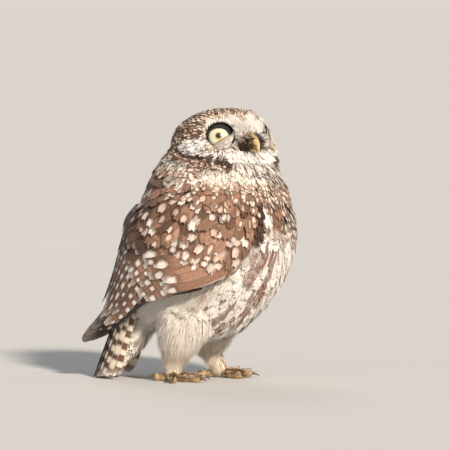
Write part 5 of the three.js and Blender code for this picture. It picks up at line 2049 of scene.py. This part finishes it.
@dataclass
class Eye:
    """One eye: the ball with its cornea and iris, and the rim of lids round it.

    Fields are its side's name, the gap from ball to lids and their thickness in millimetres, then in degrees
    off the look the lids' edge, their outer edge, how far the upper lid droops, where the straight lower lid
    lies, how much the front closes, and the lower lid's slant. Then come the heights of the cornea, of the
    bead and the fold on the lids and of the upper lid over the lower, and the hairs on the lower lid.
    """

    label: str
    lid_inner: float = 0.3
    lid_thick: float = 1.1
    open_angle: float = 47
    outer_angle: float = 66
    droop: float = 14
    chord: float = 18
    front: float = 4
    tilt: float = 21
    cornea: float = 0.45
    bead: float = 0.35
    fold: float = 0.16
    hood: float = 0.25
    hairs: int = 900

    def __post_init__(self) -> None:
        """Finds the eye's middle, the way it looks, and the ways right and up across it."""
        self.side = SIDES[self.label]
        self.front = self.front if self.side < 0 else self.front + 20
        self.centre = from_head(eye_centre(self.side))
        look = local(math.cos(EYE_DIVERGE) * math.cos(EYE_TIP),
                     self.side * math.sin(EYE_DIVERGE) * math.cos(EYE_TIP), math.sin(EYE_TIP))
        self.look = HEAD_WAYS @ look
        left = HEAD_WAYS @ np.array([1.0, 0, 0])
        self.right = unit(left - self.look * (self.look @ left))
        self.up = np.cross(self.look, self.right)
        if self.up[2] < 0:
            self.up = -self.up

    def spot(self, off: Array, turn: Array, radius: Array) -> Array:
        """A place round the eye, by degrees off its look, the turn about it, and the distance."""
        off = np.radians(off)
        return (self.centre + np.outer(radius * np.cos(off), self.look)
                + np.outer(radius * np.sin(off) * np.cos(turn), self.right)
                + np.outer(radius * np.sin(off) * np.sin(turn), self.up))

    def ball(self, material: Material) -> None:
        """The eyeball, with the cornea a little proud of it."""
        limbus = math.degrees(math.asin(IRIS_RADIUS / EYE_RADIUS))
        offs: dict[str, Array] = {}

        def shape(turn: Array, share: Array) -> Array:
            """The ball's surface, its rings closer over the iris."""
            off = 180 * share**1.35
            offs["off"], offs["turn"] = off, turn
            proud = self.cornea * np.clip(1 - (off / limbus) ** 2, 0, 1)
            return self.spot(off, turn, EYE_RADIUS + proud)

        piece = shaped_ball(f"eyeball_{self.label}", 72, 56, shape)
        corners = read(piece.data.loops, "vertex_index", 1, int)
        off = np.sin(np.radians(np.minimum(offs["off"], 90))) * EYE_RADIUS / IRIS_RADIUS
        off = np.where(offs["off"] > 90, 2, off)
        wheel = 0.5 + 0.5 * np.cos(offs["turn"] + 0.4) + 0.35 * np.sin(offs["turn"])
        lay_map(piece.data, "iris", np.column_stack([wheel, off])[corners])
        finish(piece, material, "eye", f"eye_{self.label}")

    def low_side(self, turn: Array) -> Array:
        """1 in the middle of the lower lid, which slants up to the bill, and 0 on the upper lid."""
        return np.clip(np.cos(turn - math.radians(270 - self.side * self.tilt)), 0, 1)

    def opening(self, turn: Array) -> Array:
        """Degrees off the look of the lids' edge, by the turn about it: the lower lid is nearly straight."""
        rim = (self.open_angle - self.droop * np.clip(np.sin(turn), 0, 1) ** 2
               - self.front * np.clip(-self.side * np.cos(turn), 0, 1))
        lower = self.chord / np.maximum(self.low_side(turn), 0.05)
        return -2 * np.log(np.exp(-rim / 2) + np.exp(-lower / 2))

    def lids(self, material: Material) -> None:
        """The rim of lids, lower along the top, with a soft bead along its edge."""
        select_only()
        bpy.ops.mesh.primitive_torus_add(
            major_segments=96, minor_segments=20, major_radius=1, minor_radius=0.3)
        piece = bpy.context.object
        piece.name = piece.data.name = f"eyelids_rim_{self.label}"
        ring = coordinates(piece) * MM
        turn = np.arctan2(ring[:, 1], ring[:, 0])
        round_it = np.arctan2(ring[:, 2], np.hypot(ring[:, 0], ring[:, 1]) - 1)
        upper = np.clip(np.sin(turn), 0, 1)
        opening = self.opening(turn)
        across = 0.5 - 0.5 * np.cos(round_it)
        off = self.outer_angle + (opening - self.outer_angle) * across
        thick = np.sin(round_it)
        bead = self.bead * np.exp(-((across - 0.86) / 0.12) ** 2) * (thick > 0)
        fold = self.fold * np.sin(across * 17) * (thick > 0) * np.sin(across * math.pi)
        middle = EYE_RADIUS + self.lid_inner + self.lid_thick / 2 + self.hood * upper
        radius = middle + thick * self.lid_thick / 2 + bead + fold
        move_to(piece, self.spot(off, turn, radius))
        face_outwards()
        below = soft(self.low_side(turn), 0.3, 0.65)
        brim = soft(across, 0.86, 0.95) * below
        store(piece.data, "lid", beside(len(turn), below, brim, across, 1))
        finish(piece, material, "eyelid", f"eyelids_{self.label}")

    def lid_down(self, draw: Draw) -> Feathers:
        """The short pale feathers that clothe the lower lid, pointing away from the eye."""
        turn = draw.uniform(0, 2 * math.pi, self.hairs)
        turn = turn[self.low_side(turn) > 0.42]
        edge = self.opening(turn)
        off = edge + (self.outer_angle - 10 - edge) * draw.uniform(0.1, 1, len(turn))
        roots = self.spot(off, turn, EYE_RADIUS + self.lid_inner + self.lid_thick)
        out = unit(roots - self.centre)
        away = unit(self.spot(off + 4, turn, EYE_RADIUS + 2) - roots)
        fade = soft(off, edge, edge + 16)
        ground = faded(linear(150, 132, 118), linear(238, 232, 224), fade)
        return bristles(roots, out, away, 2.0, 0.5, 0.7, ground, draw, Region.HEAD)


def finish(piece: Piece, material: Material, slot: str, *nodes: str) -> None:
    """A piece takes its finish, rides on the owl and stands for its nodes."""
    piece.data.materials.clear()
    piece.data.materials.append(material)
    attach(piece, "root")
    if nodes:
        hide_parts(*nodes)
    LOG.info("%s: %d faces", piece.name, len(piece.data.polygons))


@dataclass
class Bill:
    """The short hooked bill: each half a tapering limb along its own line, with cere and nostrils.

    Fields are each half's line, as forward, up, half height and half width, the nostril's place as forward,
    aside and up, and the heights of keel and cere.
    """

    upper: tuple[tuple[float, ...], ...] = (
        (19, -3.1, 4.6, 4.4), (24, -2.5, 4.6, 4.1), (28, -2.7, 4.1, 3.5), (31, -4.2, 3.4, 2.9),
        (33.2, -6.9, 2.4, 2.0), (34.1, -9.7, 1.2, 1.0), (34.2, -11.4, 0.35, 0.35))
    lower: tuple[tuple[float, ...], ...] = (
        (19, -8.6, 2.6, 3.7), (25, -8.0, 2.4, 3.1), (29, -8.6, 1.8, 2.3), (31.2, -9.9, 1.1, 1.3),
        (32.2, -10.9, 0.4, 0.6))
    nostril: tuple[float, float, float] = (27.6, 3.4, -0.9)
    keel: float = 0.25
    cere: float = 0.35

    def build(self, material: Material) -> None:
        """Makes both halves."""
        for name, rows, node in (
            ("bill_upper_half", self.upper, "bill_upper"),
            ("bill_lower_half", self.lower, "bill_lower"),
        ):
            line = np.array(rows)
            centres = local(line[:, 0], 0, line[:, 1])
            shape = limb_shape(centres, line[:, 3], line[:, 2], np.array([1.0, 0, 0]))
            piece = shaped_ball(name, 40, 44, shape)
            points = coordinates(piece)
            if node == "bill_upper":
                points = self.carved(points)
            move_to(piece, from_head(points))
            finish(piece, material, "bill", node)

    def carved(self, points: Array) -> Array:
        """A keel along the ridge, the swell of the cere, and the nostrils sunk into it."""
        forward, left, up = -points[:, 1], points[:, 0], points[:, 2]
        keel = np.exp(-(left / 0.9) ** 2) * (up > -2) * self.keel
        points = points + np.column_stack([np.zeros(len(points)), -keel * 0.5, keel])
        cere = self.cere * soft(forward, 28.2, 27.4) * soft(forward, 22, 25) * (up > -3)
        points[:, 0] += np.sign(left) * cere
        for side in SIDES.values():
            hole = np.array([side * self.nostril[1], -self.nostril[0], self.nostril[2]])
            near = np.exp(-(np.linalg.norm((points - hole) / np.array([1.6, 1.1, 0.8]), axis=1)) ** 2 * 1.6)
            points = points - near[:, None] * np.array([side * 1.3, 0, 0])
        return points


# Each toe's heading in degrees, its reach and its thickness, then shares of a toe's reach and thickness
# along it with its middle's height
TOES = {
    "middle_toe": (4, 19, 2.7),
    "inner_toe": (-33, 17.5, 2.6),
    "outer_toe": (62, 16.5, 2.5),
    "hallux": (174, 12.5, 2.4),
}
TOE_PROFILE = np.array([
    [0.1, 0.9, 3.3], [0.24, 0.88, 2.9], [0.38, 0.84, 2.4], [0.5, 1.06, 2.4], [0.6, 1.0, 2.35],
    [0.7, 0.86, 2.1], [0.8, 1.0, 2.3], [0.88, 1.06, 2.35], [0.96, 0.86, 2.4], [1.03, 0.5, 2.5],
])


@dataclass
class Foot:
    """One foot: four toes with scutes and pads, and their claws.

    Fields are its side's name, the scutes on a toe and their height, the bristles on a toe, then a claw's
    length along its arc, its thickness, and the slopes of its arc at root and tip in degrees.
    """

    label: str
    scutes: int = 11
    scute_high: float = 0.22
    hairs: int = 420
    claw_length: float = 8.0
    claw_thick: float = 1.35
    claw_arc: Pair = (-12, 62)

    def way(self, heading: float) -> Array:
        """The way a toe points over the floor."""
        leg = LEGS[self.label]
        angle = math.radians(-leg.side * heading - leg.side * leg.turn)
        return local(math.cos(angle), -math.sin(angle), 0)

    def build(self, skin: Material, horn: Material, plumage: Material) -> None:
        """Makes the toes with their bristles, and the claws."""
        leg = LEGS[self.label]
        start = place(leg.foot, leg.side * leg.foot_out, 0)
        coat, draw = Coat(80 + leg.side), np.random.default_rng(84 + leg.side)
        for name, (heading, reach, thick) in TOES.items():
            way = self.way(heading)
            across = np.array([-way[1], way[0], 0])
            self.toe(name, start, way, across, reach, thick, skin)
            self.claw(name, start, way, across, reach, horn)
            if name != "hallux":
                hairs = self.bristles_on(start, way, across, reach, thick, draw)
                coat.sprays(hairs, blades=5, width=0.32, puff=0.05)
        coat.piece(f"toe_bristles_{self.label}", plumage)

    def toe(self, name: str, start: Array, way: Array, across: Array, reach: float, thick: float,
            material: Material) -> None:
        """One toe, scuted above, padded below and flat where it stands."""
        rows = TOE_PROFILE
        centres = start + np.outer(rows[:, 0] * reach, way) + np.outer(rows[:, 2], [0, 0, 1])
        limb = limb_shape(centres, rows[:, 1] * thick, rows[:, 1] * thick, across)

        def shape(turn: Array, share: Array) -> Array:
            """The limb with ridged scutes over its top."""
            points = limb(turn, share)
            top = soft(np.sin(turn), 0.1, 0.6)
            saw = (share * self.scutes) % 1
            ridged = top * self.scute_high * (saw - 0.4)
            points[:, 2] += ridged * soft(share, 0.06, 0.14) * soft(share, 0.97, 0.9)
            points[:, 2] = np.maximum(points[:, 2], 0)
            return points

        piece = shaped_ball(f"{name}_scaled_{self.label}", 28, 66, shape)
        finish(piece, material, "toe_skin", f"{name}_{self.label}")

    def bristles_on(self, start: Array, way: Array, across: Array, reach: float, thick: float,
                    draw: Draw) -> Feathers:
        """Tawny and cream bristles that lie forward over the top and sides of one toe."""
        count = self.hairs
        share = draw.uniform(0.02, 0.86, count) ** 0.9
        turn = draw.uniform(-1.45, 1.45, count)
        out = np.outer(np.sin(turn), across) + np.outer(np.cos(turn), [0, 0, 1.0])
        radius = thick * np.interp(share, [0, 0.4, 0.86], [1.0, 0.95, 0.95])
        roots = start + np.outer(share * reach, way) + np.array([0, 0, 2.5]) + out * radius[:, None]
        ahead = unit(np.tile(way, (count, 1)) - out * 0.1 - np.array([0, 0, 0.1]))
        tone = draw.random(count)[:, None]
        pale = np.where(tone < 0.7, linear(206, 166, 124), linear(246, 230, 206))
        ground = np.where(tone < 0.3, linear(128, 88, 58), pale)
        region = Region.LEFT_LEG if LEGS[self.label].side > 0 else Region.RIGHT_LEG
        return bristles(roots, out, ahead, 5.0, 1.2, 0.6, ground, draw, region)

    def claw(self, name: str, start: Array, way: Array, across: Array, reach: float,
             material: Material) -> None:
        """One claw: a tapering arc from the end of its toe down to the floor."""
        first, bend = (math.radians(slope) for slope in self.claw_arc)
        radius = self.claw_length / (bend - first)
        angle = np.linspace(first, bend, 7)
        share = (angle - first) / (bend - first)
        thick = self.claw_thick * (1 - 0.86 * share**1.2)
        out = radius * (np.sin(angle) - math.sin(first)) + reach - 1.6
        down = radius * (math.cos(first) - np.cos(angle)) * 0.62
        centres = start + np.outer(out, way) + np.outer(np.maximum(3.0 - down, thick + 0.1), [0, 0, 1])
        shape = limb_shape(centres, thick * 0.85, thick * 1.05, across)
        piece = shaped_ball(f"{name}_talon_{self.label}", 20, 28, shape)
        finish(piece, material, "claw", f"{name}_claw_{self.label}")


@dataclass
class Stage:
    """The plain floor, the soft studio light and the camera at the photograph's angle.

    Fields are the camera's aim in millimetres, its angles, its distance and the width that it sees there in
    metres, its sensor's width in millimetres, the backdrop's colour and the floor's size.
    """

    aim: tuple[float, float, float] = (2.9, -21.88, 96.1)
    azimuth: float = -74
    elevation: float = 3
    distance: float = 3.0
    view_width: float = 0.279
    sensor: float = 36
    backdrop: tuple[float, float, float] = (0.72, 0.67, 0.62)
    floor_size: float = 60

    def build(self) -> None:
        """Makes the floor, the light and the camera."""
        self.floor()
        self.world()
        self.lamps()
        self.camera()

    def floor(self) -> None:
        """A large pale floor."""
        select_only()
        bpy.ops.mesh.primitive_plane_add(size=self.floor_size, location=(0, 0, 0))
        floor = bpy.context.object
        floor.name = "studio_floor"
        material, n, shader = new_material("pale_floor", {"Roughness": 0.9})
        cloud = n.noise(n.place(), 6.0, 3.0)
        n.join(shader.inputs["Base Color"], n.blend(cloud, (0.60, 0.59, 0.57, 1), (0.64, 0.63, 0.61, 1)))
        floor.data.materials.append(material)

    def world(self) -> None:
        """A soft sky whose light is dimmer than its pale backdrop."""
        world = bpy.data.worlds.new("pale_sky")
        bpy.context.scene.world = world
        world.use_nodes = True
        n = Nodes(world.node_tree)
        seen = n.add("ShaderNodeLightPath", outlet="Is Camera Ray")
        background = world.node_tree.nodes["Background"]
        n.join(background.inputs[0], n.blend(seen, (0.27, 0.28, 0.30, 1), (*self.backdrop, 1)))

    def lamps(self) -> None:
        """A warm key from the front, a soft fill from behind, and a rim."""
        for name, where, power, spread, colour in (
            ("key", (-0.95, -0.9, 0.85), 4.3, 7, (1.0, 0.89, 0.79)),
            ("fill", (-1.4, 0.5, 0.5), 0.22, 60, (0.95, 0.97, 1.0)),
            ("rim", (0.9, 0.5, 1.0), 0.5, 30, (1.0, 0.98, 0.95)),
        ):
            light = bpy.data.lights.new(name, "SUN")
            light.energy, light.angle, light.color = power, math.radians(spread), colour
            lamp = bpy.data.objects.new(name, light)
            lamp.location = where
            lamp.rotation_euler = (-Vector(where)).to_track_quat("-Z", "Y").to_euler()
            bpy.context.scene.collection.objects.link(lamp)

    def camera(self) -> None:
        """A long lens at the photograph's place and framing."""
        a, e = math.radians(self.azimuth), math.radians(self.elevation)
        back = Vector((math.sin(a) * math.cos(e), -math.cos(a) * math.cos(e), math.sin(e)))
        data = bpy.data.cameras.new("camera")
        data.sensor_width = self.sensor
        data.lens = self.sensor * self.distance / self.view_width
        data.clip_start, data.clip_end = 0.1, 200
        camera = bpy.data.objects.new("camera", data)
        camera.location = Vector(self.aim) * MM + back * self.distance
        camera.rotation_mode = "QUATERNION"
        camera.rotation_quaternion = (-back).to_track_quat("-Z", "Y")
        bpy.context.scene.collection.objects.link(camera)
        bpy.context.scene.camera = camera


GROUPS = {
    "head_feathers": ("back of the head", "crown"),
    "cheek_feathers": (
        "behind the eye", "cheek", "rim of the disc", "under the rim", "chin", "streaked throat"),
    "face_feathers": ("face", "line under the eye", "round the eye", "before the eye", "lores"),
    "neck_feathers": ("nape", "cream patch", "side of the neck", "cream band", "throat"),
    "breast_feathers": ("upper breast", "belly"),
    "flank_feathers": ("flank", "vent"),
    "tail_coverts": ("under the tail",),
    "covert_feathers": ("coverts", "lesser coverts", "under the scapulars", "wing's edge",
                        "behind the wing's edge", "arc over the scapulars"),
    "scapular_feathers": ("scapulars", "upper scapulars", "shaded scapulars"),
    "back_feathers": ("mantle", "lower back", "rump"),
    "leg_feathers": ("thigh", "shank"),
}


def small_feathers(skin: Piece, material: Material) -> None:
    """Grows the small feathers and gathers them into pieces by where they lie."""
    feathers, ruling = Scatter(skin).grow()
    names = [tract.name for tract in TRACTS]
    forms = np.array([tract.form.name for tract in TRACTS])[ruling]
    for seed, (piece, members) in enumerate(GROUPS.items(), start=70):
        coat = Coat(seed)
        mine = np.isin(ruling, [names.index(m) for m in members])
        for form, cut in CUTS.items():
            coat.vanes(feathers.chosen(mine & (forms == form.name)), cut)
        coat.sprays(feathers.chosen(mine & (forms == Form.HAIR.name)), blades=10, width=0.34, puff=0.12)
        coat.piece(piece, material)


def main() -> None:
    """Builds the owl piece by piece, then the stage."""
    logging.basicConfig(level=logging.INFO, format="%(message)s")
    Stage().build()
    bpy.context.scene.view_settings.view_transform = "Standard"
    plumage = Plumage().material()
    small_feathers(Skin().build(Down().material()), plumage)
    for label in SIDES:
        Wing(label).build(plumage)
    Tail().build(plumage)
    iris, lid = Iris().material(), LidSkin().material()
    eyes = [Eye(label) for label in SIDES]
    for eye in eyes:
        eye.ball(iris)
        eye.lids(lid)
    FaceBristles().build(eyes, plumage)
    Bill().build(BILL.material())
    toe, claw = TOE.material(), CLAW.material()
    for label in LEGS:
        Foot(label).build(toe, claw, plumage)
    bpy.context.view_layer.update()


if __name__ == "__main__":
    main()
